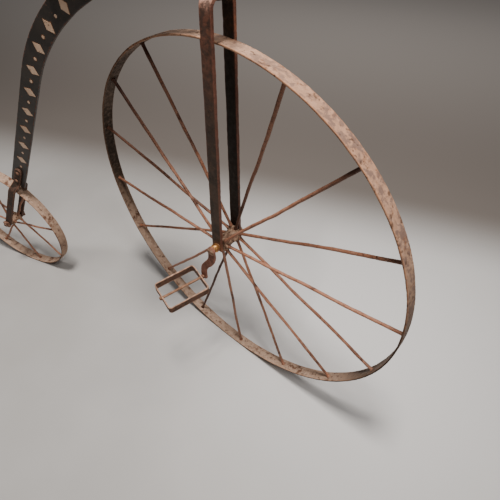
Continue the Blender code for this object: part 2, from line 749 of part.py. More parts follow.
def make_saddle_spring():
    """A leaf that lies on the clip, rises to a level seat and comes down onto the backbone.
    Returns the height of the seat's upper face."""
    on_clip = 2 * GAP + CLIP_THICKNESS + SPRING_THICKNESS / 2
    start = on_backbone(CLIP_X, -SPRING_FOOT, on_clip)
    lift = on_backbone(CLIP_X, SPRING_FOOT, on_clip)
    seat = on_backbone(CLIP_X, 0, on_clip).y + SEAT_RISE
    front = Vector((SEAT_FRONT_X, seat))
    rear = Vector((SEAT_REAR_X, seat))
    landing = on_backbone(SPRING_REAR_X, -SPRING_FOOT, GAP + SPRING_THICKNESS / 2)
    end = on_backbone(SPRING_REAR_X, SPRING_FOOT, GAP + SPRING_THICKNESS / 2)
    reach = 0.035
    path = [start, lift]
    rising = (lift - start).normalized() * 0.02
    landing_way = (end - landing).normalized() * reach
    path += bezier(lift, lift + rising, front + Vector((0.02, 0)), front, 8)
    path.append(rear)
    path += bezier(rear, rear - Vector((reach, 0)), landing - landing_way, landing, 10)
    path.append(end)
    one, other = band([tuple(point) for point in path], SPRING_THICKNESS)
    spring = flat("saddle_spring", [one + other[::-1]], SPRING_WIDTH)
    place(spring, None, DARK_IRON, rotation=(ROUND, 0, 0))
    for x in SADDLE_RIVET_XS:
        drill(spring, RIVET_RADIUS + GAP, 0.03, (x, 0, seat))
    return seat + SPRING_THICKNESS / 2


def saddle_point(along, across, seat):
    """Middle of the pan's sheet. along runs from 0 at the nose to 1 at the back, across from -1 to 1."""
    widening = along * along * (3 - 2 * along)
    half = (SADDLE_NOSE_WIDTH + (SADDLE_REAR_WIDTH - SADDLE_NOSE_WIDTH) * widening) / 2
    from_end = min(along, 1 - along) / 0.2
    if from_end < 1:
        half *= 0.4 + 0.6 * math.sqrt(1 - (1 - from_end) ** 2)
    rise = 0.016 * (2 * along - 1.05) ** 4
    droop = 0.016 * (1 - widening * 0.5) * across**4
    height = seat + 2 * GAP + SADDLE_THICKNESS / 2 + rise - droop
    return SADDLE_NOSE_X - SADDLE_LENGTH * along, half * across, height


def make_saddle():
    strap = BACKBONE_THICKNESS / 2 + GAP + CLIP_THICKNESS / 2
    top = CLIP_THICKNESS / 2 + GAP
    path = [(-strap, -CLIP_DROP), (-strap, top), (strap, top), (strap, -CLIP_DROP)]
    one, other = band(path, CLIP_THICKNESS)
    clip = flat("saddle_clip", [one + other[::-1]], CLIP_WIDTH)
    edge = on_backbone(CLIP_X, 0, 0)
    lean = math.asin(-CLIP_X / BACKBONE_OUTER_RADIUS)
    line = pivot("saddle_clip_line", (edge.x, 0, edge.y), (0, -lean, 0))
    place(clip, line, DARK_IRON, rotation=(ROUND, 0, ROUND))
    drill(clip, RIVET_RADIUS + GAP, 0.04, (0, 0, -CLIP_RIVET_DEPTH), (ROUND, 0, 0))
    spot = on_backbone(CLIP_X, 0, -CLIP_RIVET_DEPTH)
    through_rivet("saddle_clip_rivet", strap + CLIP_THICKNESS / 2 + GAP, (spot.x, 0, spot.y))

    seat = make_saddle_spring()
    work = bmesh.new()
    bmesh.ops.create_grid(work, x_segments=22, y_segments=14, size=1)
    for vertex in work.verts:
        vertex.co = saddle_point((vertex.co.x + 1) / 2, vertex.co.y, seat)
    mesh = bpy.data.meshes.new("saddle")
    work.to_mesh(mesh)
    work.free()
    smooth(mesh)
    pan = object_of("saddle", mesh)
    place(pan, None, RUST)
    sheet = pan.modifiers.new("sheet", "SOLIDIFY")
    sheet.thickness = SADDLE_THICKNESS
    sheet.offset = 0
    for i, x in enumerate(SADDLE_RIVET_XS):
        drill(pan, RIVET_RADIUS + GAP, 0.03, (x, 0, seat))
        grip = SADDLE_THICKNESS + SPRING_THICKNESS + 4 * GAP
        middle = seat + 2 * GAP + SADDLE_THICKNESS - grip / 2 + GAP
        through_rivet(f"saddle_rivet_{i + 1}", grip / 2 + GAP, (x, 0, middle), (0, 0, 0))


def main():
    steering = pivot("steering_axis", (0, 0, 0), (0, 0, STEER_ANGLE))
    front_axle = pivot("front_axle_axis", (0, 0, FRONT_RADIUS), parent=steering)
    make_front_wheel(front_axle)
    eye = make_crank(front_axle)
    pedal = pivot("pedal_axis", eye, (PIN_DROP, 0, -PIN_YAW), front_axle)
    make_pedal(pedal)

    crown_top = make_fork(front_axle)
    tube_foot = make_steering(front_axle, crown_top)
    tube_top = tube_foot + HEAD_TUBE_LENGTH
    tube = ring("head_tube", STEM_RADIUS + 0.0005, HEAD_TUBE_RADIUS, tube_foot, tube_top)
    place(tube, None, DARK_IRON, (0, 0, FRONT_RADIUS))

    backwards = make_backbone()
    make_rear_fork(backwards)
    rear_axle = pivot("rear_axle_axis", (REAR_HUB.x, 0, REAR_HUB.y))
    make_rear_wheel(rear_axle)
    make_rear_axle()
    make_saddle()


main()
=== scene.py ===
"""Looks for the wrought-iron penny-farthing: hand-forged bars, welds, rust, worn paint and a studio."""

import json
import math

import bmesh
import bpy
import numpy as np
from mathutils import Matrix, Vector, noise


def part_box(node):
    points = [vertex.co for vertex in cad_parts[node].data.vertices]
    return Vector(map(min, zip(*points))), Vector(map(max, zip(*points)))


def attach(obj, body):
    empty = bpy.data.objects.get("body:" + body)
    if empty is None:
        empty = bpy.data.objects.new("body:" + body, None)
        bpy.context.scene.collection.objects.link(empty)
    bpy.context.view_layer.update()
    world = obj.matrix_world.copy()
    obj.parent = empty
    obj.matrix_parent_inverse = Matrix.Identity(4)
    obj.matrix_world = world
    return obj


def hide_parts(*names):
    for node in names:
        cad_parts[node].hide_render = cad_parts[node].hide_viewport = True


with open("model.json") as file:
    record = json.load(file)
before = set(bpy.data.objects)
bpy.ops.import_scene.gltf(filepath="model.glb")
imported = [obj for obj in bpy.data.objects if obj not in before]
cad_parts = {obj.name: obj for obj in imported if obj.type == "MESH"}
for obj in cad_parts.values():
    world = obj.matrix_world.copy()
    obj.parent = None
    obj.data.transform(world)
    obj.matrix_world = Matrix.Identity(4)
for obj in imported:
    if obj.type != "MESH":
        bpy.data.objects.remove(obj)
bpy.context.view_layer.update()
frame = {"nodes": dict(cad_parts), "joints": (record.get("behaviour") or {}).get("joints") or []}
NODES = frame["nodes"]
JOINTS = {joint["name"]: joint for joint in frame["joints"]}

# ---- sizes in metres, the same as the frame's ----
RIM_WIDTH, RIM_THICK = 0.0254, 0.0030
FRONT_R, REAR_R = 0.381, 0.172
FRONT_SPOKES, REAR_SPOKES = 16, 8
FIRST_SPOKE = math.radians(5)
LEG_SPACING, CROWN_SPACING, FORK_THICK = 0.0555, 0.0425, 0.006
CROWN_WIDTH, FOOT_WIDTH = 0.0212, 0.0255
CROWN, CROWN_BEND = 0.432, 0.013  # height above the axle and corner radius, at the middle of the bar
FORK_FOOT, LEGS_LEAN_FROM = -0.013, 0.022  # heights from the axle
FOOT_BACK = 0.0035  # how far the feet stand behind the crown
CRANK_LENGTH, CRANK_MID, CRANK_THICK = 0.105, 0.0493, 0.005
CRANK_TOP, CRANK_BOTTOM, CRANK_SWAY = 0.00925, 0.00725, 0.006  # half widths at both eyes, and the S bend
CRANK_LEAN = math.radians(16.2)
PEDAL_START, PEDAL_LENGTH, PEDAL_WIDTH, PEDAL_CORNER = 0.0087, 0.097, 0.0765, 0.006
PEDAL_BAR, PEDAL_BAR_HEIGHT, PEDAL_BAR_LOWERED = 0.0028, 0.019, 0.0032
PEDAL_ROLL = math.radians(2.7)
RIM_PLAY = 0.0003  # keeps the rough rim inside the frame's rim
ARC_INNER, ARC_DEPTH, BAR_THICK = 1.18 * FRONT_R, 0.0381, 0.005
HEAD_BACK = -0.0128  # where the backbone meets the head tube
TAIL_SHORT = 0.195  # from the backbone's end to the rear axle
BLADE_WIDTH, BLADE_THICK = 0.018, 0.005


def matrix_from(origin, x_axis, y_axis, z_axis):
    """A place and three directions as one matrix."""
    matrix = Matrix((x_axis, y_axis, z_axis)).transposed().to_4x4()
    matrix.translation = Vector(origin)
    return matrix


def wheel_matrix(joint):
    """Local X forwards, Y along the axle to the left, Z up, with its origin in the middle of the axle."""
    axle = Vector(JOINTS[joint]["axis"]).normalized()
    up = Vector((0, 0, 1))
    return matrix_from(JOINTS[joint]["pos_m"], axle.cross(up), axle, up)


FRONT = wheel_matrix("front_wheel_spin")
REAR = wheel_matrix("rear_wheel_spin")
STEER = FRONT @ Matrix.Translation((0, 0, -FRONT_R))


def pedal_matrix():
    """Local -Y along the pedal pin, X forwards, with its origin in the crank's eye."""
    pin = Vector(JOINTS["pedal_spin"]["axis"]).normalized()
    side = (-pin).cross(Vector((0, 0, 1))).normalized()
    return matrix_from(JOINTS["pedal_spin"]["pos_m"], side, -pin, side.cross(-pin))


PEDAL = pedal_matrix()

# ---- mesh tools ----


def new_object(name, data):
    obj = bpy.data.objects.new(name, data)
    bpy.context.scene.collection.objects.link(obj)
    return obj


def mesh_from(work, name):
    """A mesh of what was built in a bmesh."""
    mesh = bpy.data.meshes.new(name)
    work.to_mesh(mesh)
    work.free()
    return mesh


def stored(mesh, name):
    values = np.empty(len(mesh.vertices), np.float32)
    mesh.attributes[name].data.foreach_get("value", values)
    return values


def store(mesh, name, values):
    """Keeps a number for each point, which materials can read."""
    attribute = mesh.attributes.get(name) or mesh.attributes.new(name, "FLOAT", "POINT")
    attribute.data.foreach_set("value", values.astype(np.float32))


def coordinates(mesh):
    co = np.empty(len(mesh.vertices) * 3, np.float64)
    mesh.vertices.foreach_get("co", co)
    return co.reshape(-1, 3)


def normals(mesh):
    no = np.empty(len(mesh.vertices) * 3, np.float64)
    mesh.vertex_normals.foreach_get("vector", no)
    return no.reshape(-1, 3)


def mark_wear(mesh, low=60.0, high=420.0):
    """Stores how convex the surface is at each point, so that edges can look rubbed.
    low and high are the curvatures, per metre, where rubbing starts and where it is complete."""
    co, no = coordinates(mesh), normals(mesh)
    ends = np.empty(len(mesh.edges) * 2, np.int64)
    mesh.edges.foreach_get("vertices", ends)
    ends = ends.reshape(-1, 2)
    step = co[ends[:, 1]] - co[ends[:, 0]]
    turned = no[ends[:, 1]] - no[ends[:, 0]]
    bend = (turned * step).sum(1) / np.maximum((step * step).sum(1), 1e-12)
    total, count = np.zeros(len(co)), np.zeros(len(co))
    for column in (0, 1):
        np.add.at(total, ends[:, column], bend)
        np.add.at(count, ends[:, column], 1)
    wear_and_highlight = np.clip((total / np.maximum(count, 1) - low) / (high - low), 0, 1)
    store(mesh, "wear_and_highlight", wear_and_highlight)


def mark_sides(mesh, axis, amount):
    """Gives every face that looks along an axis, either way, at least an amount of the edge colour. On the
    hoop's side faces and the pedal's top and bottom faces that is a painted highlight, on top of their rubbed
    edges.
    """
    along = np.abs(normals(mesh)[:, axis])
    store(mesh, "wear_and_highlight", np.maximum(stored(mesh, "wear_and_highlight"), np.clip((along - 0.75) * 8, 0, 1) * amount))


HAMMERED, SCALED, GRAINY, PITTED = 28, 120, 420, 210  # how many times per metre each unevenness comes
PIT_FROM = 0.28  # only the deepest part of the pits' noise counts


def roughen(mesh, seed, low, mid, fine, pits):
    """Moves the surface in and out: hammered unevenness, scale, grain and rust pits."""
    co, no = coordinates(mesh), normals(mesh)
    offset = Vector((seed * 3.17, seed * 1.31, seed * 5.73))
    moves = np.empty(len(co))
    for i, point in enumerate(co):
        p = Vector(point) + offset
        shift = low * noise.noise(p * HAMMERED)
        shift += mid * noise.noise(p * SCALED)
        shift += fine * noise.noise(p * GRAINY)
        hole = noise.noise(p * PITTED + Vector((9, 4, 2)))
        if hole > PIT_FROM:
            shift -= pits * min(1, (hole - PIT_FROM) * 5)
        moves[i] = shift
    mesh.vertices.foreach_set("co", (co + no * moves[:, None]).ravel())
    mesh.update()


def finish_piece(name, mesh, body, nodes, material):
    """Makes an object of a mesh that is already in its place, and tells the frame what it is."""
    mesh.shade_smooth()
    mesh.materials.clear()
    mesh.materials.append(material)
    obj = new_object(name, mesh)
    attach(obj, body)
    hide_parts(*nodes)


def bar_section(width, thick, radius, across=8, through=3, corner=3):
    """A flat bar's rounded outline: first coordinate across its width, second through its thickness.
    across, through and corner are the numbers of steps along each side and around each corner."""
    points = []
    half_w, half_t = width / 2 - radius, thick / 2 - radius
    sides = ((half_w, half_t, 0), (-half_w, half_t, 1), (-half_w, -half_t, 2), (half_w, -half_t, 3))
    for i, (x, y, quarter) in enumerate(sides):
        for k in range(corner + 1):
            a = math.pi / 2 * (quarter + k / corner)
            points.append((x + radius * math.cos(a), y + radius * math.sin(a)))
        nx, ny, _ = sides[(i + 1) % 4]
        a = math.pi / 2 * (quarter + 1)
        start = Vector((x + radius * math.cos(a), y + radius * math.sin(a)))
        end = Vector((nx + radius * math.cos(a), ny + radius * math.sin(a)))
        inner = across if quarter % 2 == 0 else through
        for k in range(1, inner):
            points.append(tuple(start.lerp(end, k / inner)))
    return points


def round_section(sides):
    """A circle of radius 1."""
    return [(math.cos(2 * math.pi * k / sides), math.sin(2 * math.pi * k / sides)) for k in range(sides)]


END_INSET = 0.0006


def sweep(name, stations, section, closed=False):
    """A skin through (centre, first axis, second axis) stations. The axes' lengths scale the section.
    Unless it is closed, both of its ends are capped, with a narrow ring inside the cap's edge."""
    verts, faces = [], []
    n = len(section)
    for centre, u, v in stations:
        verts += [centre + u * a + v * b for a, b in section]
    last = len(stations) if closed else len(stations) - 1
    for i in range(last):
        a, b = i * n, ((i + 1) % len(stations)) * n
        for k in range(n):
            j = (k + 1) % n
            faces.append((a + k, a + j, b + j, b + k))
    if not closed:
        faces.append(tuple(range(n))[::-1])
        faces.append(tuple(range(len(verts) - n, len(verts))))
    mesh = bpy.data.meshes.new(name)
    mesh.from_pydata([tuple(v) for v in verts], [], faces)
    work = bmesh.new()
    work.from_mesh(mesh)
    if not closed:
        work.faces.ensure_lookup_table()
        ends = [f for f in work.faces if len(f.verts) > 4]
        bmesh.ops.inset_region(work, faces=ends, thickness=END_INSET, depth=0)
    bmesh.ops.recalc_face_normals(work, faces=work.faces)
    work.to_mesh(mesh)
    work.free()
    return mesh


def planar_stations(points, side, scales=None, closed=False):
    """Stations along a path in a plane. side is the plane's normal, and the first axis of the section,
    which scales can widen or narrow at each point."""
    side = Vector(side)
    count = len(points)
    found = []
    for i, point in enumerate(points):
        before = points[i - 1] if closed or i > 0 else point
        after = points[(i + 1) % count] if closed or i < count - 1 else point
        along = (after - before).normalized()
        out = along.cross(side).normalized()
        found.append((Vector(point), side * (scales[i] if scales else 1), out))
    return found


def resample(points, step, closed=False):
    """Points at even distances along a polyline."""
    points = [Vector(p) for p in points]
    if closed:
        points = points + [points[0]]
    lengths = [0.0]
    for a, b in zip(points, points[1:]):
        lengths.append(lengths[-1] + (b - a).length)
    count = max(2, round(lengths[-1] / step))
    found, k = [], 0
    for i in range(count if closed else count + 1):
        want = lengths[-1] * i / count
        while k < len(lengths) - 2 and lengths[k + 1] < want:
            k += 1
        span = max(lengths[k + 1] - lengths[k], 1e-9)
        found.append(points[k].lerp(points[k + 1], (want - lengths[k]) / span))
    return found


def softened(path, rounds):
    """A path with its corners smoothed out and its ends left in place."""
    for _ in range(rounds):
        path = [path[0]] + [(a + b * 2 + c) / 4 for a, b, c in zip(path, path[1:], path[2:])] + [path[-1]]
    return path


def rounded_end(share, least):
    """How wide a round end is at a share of its length from the tip. least is the least square of it."""
    return math.sqrt(max(least, 1 - (1 - share) ** 2))


def evaluated(obj):
    """The mesh that an object's modifiers make. The object is deleted."""
    bpy.context.view_layer.update()
    mesh = bpy.data.meshes.new_from_object(obj.evaluated_get(bpy.context.evaluated_depsgraph_get()))
    bpy.data.objects.remove(obj)
    return mesh


def tube(name, points, radii, sides):
    """A round bar through points, with its own radius at each."""
    stations = []
    ring = Vector((0.31, 0.52, 0.79))
    for i, point in enumerate(points):
        before, after = points[max(i - 1, 0)], points[min(i + 1, len(points) - 1)]
        along = (after - before).normalized()
        u = (ring - along * ring.dot(along)).normalized()
        ring = u
        stations.append((point, u * radii[i], along.cross(u) * radii[i]))
    return sweep(name, stations, round_section(sides))


def remeshed(name, mesh, voxel, smooth=3):
    """One closed skin around everything in the mesh, with its edges rounded."""
    obj = new_object(name, mesh)
    skin = obj.modifiers.new("skin", "REMESH")
    skin.mode = "VOXEL"
    skin.voxel_size = voxel
    soft = obj.modifiers.new("soft", "SMOOTH")
    soft.iterations = smooth
    return evaluated(obj)


def cad_mesh(node):
    """A copy of a CAD node's mesh, with its corners joined up again."""
    work = bmesh.new()
    work.from_mesh(NODES[node].data)
    bmesh.ops.remove_doubles(work, verts=work.verts, dist=1e-5)
    return mesh_from(work, "copy")


def ellipsoid(work, centre, radii, seed):
    """Adds a small lumpy ball, such as a bead of weld."""
    made = bmesh.ops.create_icosphere(work, subdivisions=2, radius=1)["verts"]
    for vert in made:
        lump = 1 + 0.22 * noise.noise(vert.co * 1.7 + Vector((seed, seed * 2.3, 1)))
        vert.co = Vector(centre) + Vector([r * c * lump for r, c in zip(radii, vert.co)])


# ---- materials ----


class Tree:
    """A short way to write a material's nodes."""

    def __init__(self, name):
        self.material = bpy.data.materials.new(name)
        self.material.use_nodes = True
        self.nodes = self.material.node_tree.nodes
        self.links = self.material.node_tree.links
        self.shader = self.nodes["Principled BSDF"]
        self.place = self.nodes.new("ShaderNodeTexCoord").outputs["Object"]

    def link(self, value, socket):
        """Joins a socket to another one, or gives it a number or a colour."""
        if isinstance(value, bpy.types.NodeSocket):
            self.links.new(value, socket)
        elif isinstance(value, tuple) and len(value) == 3 and socket.type == "RGBA":
            socket.default_value = (*value, 1)
        else:
            socket.default_value = value

    def moved(self, offset):
        """The piece's own coordinates, moved so that every material has its own pattern."""
        node = self.nodes.new("ShaderNodeMapping")
        self.link(self.place, node.inputs["Vector"])
        node.inputs["Location"].default_value = offset
        return node.outputs["Vector"]

    def noise(self, vector, scale, detail=4, rough=0.55, twist=0.0):
        node = self.nodes.new("ShaderNodeTexNoise")
        self.link(vector, node.inputs["Vector"])
        node.inputs["Scale"].default_value = scale
        node.inputs["Detail"].default_value = detail
        node.inputs["Roughness"].default_value = rough
        node.inputs["Distortion"].default_value = twist
        return node.outputs["Fac"]

    def ramp(self, value, low, high, out_low=0.0, out_high=1.0):
        """Goes smoothly from out_low at low to out_high at high."""
        node = self.nodes.new("ShaderNodeMapRange")
        node.interpolation_type = "SMOOTHSTEP"
        for socket, number in zip(node.inputs, (value, low, high, out_low, out_high)):
            self.link(number, socket)
        return node.outputs["Result"]

    def math(self, kind, a, b):
        node = self.nodes.new("ShaderNodeMath")
        node.operation = kind
        self.link(a, node.inputs[0])
        self.link(b, node.inputs[1])
        return node.outputs[0]

    def times(self, a, b):
        return self.math("MULTIPLY", a, b)

    def mix(self, factor, a, b):
        """Colour a where the factor is 0, colour b where it is 1."""
        node = self.nodes.new("ShaderNodeMix")
        node.data_type = "RGBA"
        self.link(factor, node.inputs[0])
        first, second = [socket for socket in node.inputs if socket.type == "RGBA"]
        self.link(a, first)
        self.link(b, second)
        return next(socket for socket in node.outputs if socket.type == "RGBA")

    def attribute(self, name):
        node = self.nodes.new("ShaderNodeAttribute")
        node.attribute_name = name
        return node.outputs["Fac"]

    def near(self, point, radius):
        """1 at a point, falling to 0 at a distance from it."""
        node = self.nodes.new("ShaderNodeVectorMath")
        node.operation = "DISTANCE"
        self.link(self.place, node.inputs[0])
        node.inputs[1].default_value = point
        return self.ramp(node.outputs["Value"], 0.0, radius, 1.0, 0.0)

    def bump(self, height, strength, distance):
        node = self.nodes.new("ShaderNodeBump")
        node.inputs["Strength"].default_value = strength
        node.inputs["Distance"].default_value = distance
        self.link(height, node.inputs["Height"])
        self.link(node.outputs["Normal"], self.shader.inputs["Normal"])


def darker(colour, share):
    return tuple(share * channel for channel in colour)


def rust(name, dark, mid, light, edge, seed, patches=(0.40, 0.60), grain=(0.42, 0.62), light_share=0.8,
         spots=0.6, wear_and_highlight=0.7, rough=(0.55, 0.85), specular=0.25, bump=0.5, broad_scale=24,
         medium_scale=130, spot_scale=235, mottle=None, masks=(), zones=()):
    """Rusted iron: broad patches from dark to mid, lighter grain, dark pits, and rubbed edges, whose colour
    also paints the highlight that mark_sides stores.
    zones are (point, radius, colour, strength) patches of colour, and masks (attribute, colour, strength)
    ones; several of them are painted shade and one is a painted highlight.
    mottle is (point, radius, colour) of small dark clouds."""
    t = Tree(name)
    where = t.moved((seed * 2.1, seed * 1.3, seed * 0.7))
    broad = t.noise(where, broad_scale, 5, 0.6, 0.3)
    medium = t.noise(where, medium_scale, 6, 0.62)
    fine = t.noise(where, 620, 3, 0.6)
    pits = t.noise(t.moved((seed + 3.3, 1.7, seed)), spot_scale, 3, 0.5)
    colour = t.mix(t.ramp(broad, *patches), dark, mid)
    colour = t.mix(t.times(t.ramp(medium, *grain), light_share), colour, light)
    for point, radius, stain, strength in zones:
        spread = t.times(t.near(point, radius), t.ramp(medium, 0.25, 0.6, 0.55, 1.0))
        colour = t.mix(t.times(spread, strength), colour, stain)
    if mottle:
        centre, radius, stain = mottle
        clouds = t.noise(t.moved((seed, 5.1, 2.2)), 85, 4, 0.6, 0.1)
        clouds = t.ramp(clouds, 0.45, 0.58, 0.0, 0.8)
        colour = t.mix(t.times(clouds, t.near(centre, radius)), colour, stain)
    for mask, stain, strength in masks:
        spread = t.times(t.attribute(mask), t.ramp(medium, 0.2, 0.6, 0.8, 1.0))
        colour = t.mix(t.times(spread, strength), colour, stain)
    # rubbed edges, with the painted highlight that mark_sides stores in the same attribute
    rubbed = t.times(t.attribute("wear_and_highlight"), t.ramp(medium, 0.3, 0.62, 0.35, 1.0))
    colour = t.mix(t.times(rubbed, wear_and_highlight), colour, edge)
    colour = t.mix(t.times(t.ramp(pits, 0.58, 0.68), spots), colour, darker(dark, 0.35))
    colour = t.mix(t.ramp(fine, 0.35, 0.75, 0.0, 0.22), colour, darker(mid, 0.5))
    t.link(colour, t.shader.inputs["Base Color"])
    t.link(t.ramp(medium, 0.3, 0.7, *rough), t.shader.inputs["Roughness"])
    t.shader.inputs["Specular IOR Level"].default_value = specular
    height = t.math("ADD", t.times(medium, 0.7), t.times(fine, 0.3))
    height = t.math("SUBTRACT", height, t.times(t.ramp(pits, 0.55, 0.7), 0.35))
    t.bump(height, bump, 0.0008)
    return t.material


def at_front(x, y, z):
    """A point given from the middle of the front axle: forwards, to the left and up."""
    return tuple(FRONT @ Vector((x, y, z)))


# Each rust's colours are, in turn, its dark, middle and light patches and its rubbed edges, which on the
# hoops and the pedal loop also give a painted highlight.
RIM_RUST = rust(
    "rim_rust", (0.115, 0.050, 0.027), (0.34, 0.215, 0.145), (0.47, 0.32, 0.23), (0.44, 0.20, 0.10), 1.0,
    patches=(0.38, 0.47), spots=0.7, wear_and_highlight=0.75, rough=(0.55, 0.8), specular=0.15, broad_scale=40,
    spot_scale=110, mottle=(at_front(0.28, 0.0, 0.24), 0.70, (0.150, 0.095, 0.078)),
    # painted shade on the hoop's right-hand side faces, low down and at the front
    masks=(("under", (0.018, 0.012, 0.008), 0.95),),
    zones=(
        (at_front(0.20, 0.0, 0.32), 0.42, (0.43, 0.205, 0.115), 0.60),  # tan tread in front of the fork
        (at_front(-0.375, 0.0, 0.12), 0.34, (0.011, 0.0065, 0.0030), 1.0),  # painted shade: dark stretch on the back of the hoop, facing away from the lamps
        (at_front(-0.375, 0.0, 0.02), 0.22, (0.011, 0.0065, 0.0030), 1.0),
        (at_front(-0.26, 0.0, 0.29), 0.22, (0.016, 0.010, 0.0055), 1.0),
        (at_front(0.358, 0.0, -0.130), 0.11, (0.070, 0.045, 0.027), 0.9),  # painted shade: brown stretch on the front of the hoop, low down
        (at_front(0.385, 0.0, -0.03), 0.25, (0.078, 0.048, 0.027), 0.95),
    ),
)
SPOKE_RUST = rust(
    "spoke_rust", (0.075, 0.028, 0.016), (0.32, 0.133, 0.074), (0.45, 0.235, 0.155), (0.42, 0.2, 0.12), 2.0,
    patches=(0.36, 0.48), spots=0.55, wear_and_highlight=0.1, rough=(0.4, 0.7), broad_scale=13, medium_scale=90,
    # darker stretches on some front spokes, set per spoke below
    light_share=0.5, masks=(("darkening", (0.048, 0.017, 0.009), 0.95),),
)
HUB_RUST = rust(
    "hub_rust", (0.12, 0.055, 0.03), (0.35, 0.205, 0.13), (0.46, 0.30, 0.20), (0.52, 0.34, 0.22), 3.0,
    spots=0.85, wear_and_highlight=0.5,
)
CRANK_RUST = rust(
    "crank_rust", (0.12, 0.040, 0.022), (0.23, 0.088, 0.052), (0.34, 0.15, 0.10), (0.40, 0.19, 0.12), 4.0,
    spots=0.5, wear_and_highlight=0.5, bump=0.8,
)
# its light edge colour is also a painted highlight on the loop's top and bottom faces
PEDAL_RUST = rust(
    "pedal_rust", (0.055, 0.024, 0.013), (0.12, 0.052, 0.029), (0.19, 0.09, 0.052), (0.60, 0.36, 0.24), 5.0,
    spots=0.4, wear_and_highlight=0.95,
)
FORK_IRON = rust(
    "fork_iron", (0.040, 0.026, 0.017), (0.074, 0.045, 0.029), (0.130, 0.078, 0.055), (0.26, 0.095, 0.060),
    6.0, grain=(0.5, 0.72), spots=0.35, wear_and_highlight=0.8, rough=(0.5, 0.75),
    mottle=(at_front(0.0, -0.024, 0.40), 0.42, (0.062, 0.037, 0.028)),
    masks=(("far_leg", (0.013, 0.0085, 0.0045), 0.97),),
    zones=(
        (at_front(0.0, -0.024, 0.425), 0.19, (0.170, 0.066, 0.042), 0.95),  # red-brown upper part
        (at_front(0.0, -0.014, 0.438), 0.032, (0.66, 0.38, 0.27), 1.0),  # painted highlight on the crown's top bend
        (at_front(0.016, 0.024, 0.390), 0.060, (0.50, 0.18, 0.07), 0.9),  # orange edge by the rim
        (at_front(0.006, -0.028, -0.012), 0.034, (0.34, 0.14, 0.055), 1.0),  # foot
    ),
)
DARK_IRON = rust(
    "dark_iron", (0.030, 0.020, 0.014), (0.060, 0.036, 0.024), (0.12, 0.062, 0.042), (0.26, 0.11, 0.065), 7.0,
    spots=0.4, wear_and_highlight=0.7,
)
OLD_IRON = rust(
    "old_iron", (0.085, 0.036, 0.022), (0.17, 0.080, 0.050), (0.27, 0.145, 0.095), (0.36, 0.19, 0.115), 8.0,
    spots=0.6, wear_and_highlight=0.6,
)
PEDAL_PIN_RUST = rust(
    "pin_rust", (0.10, 0.042, 0.020), (0.28, 0.135, 0.070), (0.38, 0.21, 0.13), (0.40, 0.22, 0.13), 9.0,
    spots=0.5, wear_and_highlight=0.3,
)
AXLE_IRON = rust(
    "axle_iron", (0.17, 0.085, 0.05), (0.32, 0.17, 0.10), (0.44, 0.27, 0.18), (0.50, 0.32, 0.20), 10.0,
    spots=0.5, wear_and_highlight=0.5,
)


def brass():
    """Dull brass with dark stains."""
    t = Tree("worn_brass")
    where = t.moved((0.3, 0.1, 0.7))
    medium = t.noise(where, 160, 5, 0.6)
    fine = t.noise(where, 700, 3)
    colour = t.mix(t.ramp(medium, 0.42, 0.62), (0.24, 0.090, 0.030), (0.72, 0.36, 0.11))
    colour = t.mix(t.ramp(fine, 0.45, 0.75, 0.0, 0.6), colour, (0.12, 0.045, 0.02))
    t.link(colour, t.shader.inputs["Base Color"])
    t.link(t.ramp(medium, 0.3, 0.7, 0.28, 0.55), t.shader.inputs["Roughness"])
    t.shader.inputs["Metallic"].default_value = 0.75
    t.bump(medium, 0.4, 0.0006)
    return t.material


def worn_paint(name, colour, faded, under, chips, seed):
    """Paint over rust: faded unevenly, and chipped to the iron below, most of all along edges.
    A lower chips chips more of it."""
    t = Tree(name)
    where = t.moved((seed, seed * 0.4, 0.2))
    broad = t.noise(where, 30, 4)
    medium = t.noise(where, 150, 6, 0.65)
    fine = t.noise(where, 800, 3)
    paint = t.mix(t.ramp(broad, 0.35, 0.65), colour, faded)
    bare = t.mix(t.ramp(fine, 0.4, 0.65), under, darker(under, 0.4))
    edge = t.times(t.attribute("wear_and_highlight"), 0.22)
    chipped = t.ramp(t.math("ADD", medium, edge), chips, chips + 0.05)
    t.link(t.mix(chipped, paint, bare), t.shader.inputs["Base Color"])
    t.link(t.ramp(chipped, 0, 1, 0.42, 0.8), t.shader.inputs["Roughness"])
    height = t.math("SUBTRACT", t.times(fine, 0.2), t.times(chipped, 0.5))
    t.bump(height, 0.5, 0.0004)
    return t.material


BRASS = brass()
BLACK_PAINT = worn_paint("black_paint", (0.020, 0.015, 0.012), (0.034, 0.025, 0.019), (0.13, 0.055, 0.033),
                         0.63, 1.0)
CREAM_PAINT = worn_paint("cream_paint", (0.62, 0.43, 0.30), (0.50, 0.33, 0.22), (0.16, 0.07, 0.03), 0.62, 2.0)
BROWN_PAINT = worn_paint("brown_paint", (0.16, 0.062, 0.022), (0.10, 0.042, 0.018), (0.03, 0.02, 0.014),
                         0.62, 3.0)

# ---- wheels ----


def spoke_place(number, count):
    """A spoke's angle, and the side of the hub that it starts from. The sides take turns."""
    return FIRST_SPOKE + 2 * math.pi * number / count, -1 if number % 2 == 0 else 1


def wobble(angle, seed, size):
    """How far a hand-made hoop stands to one side at an angle."""
    return size * (math.sin(2 * angle + seed) + 0.45 * math.sin(5 * angle + 2.3 * seed))


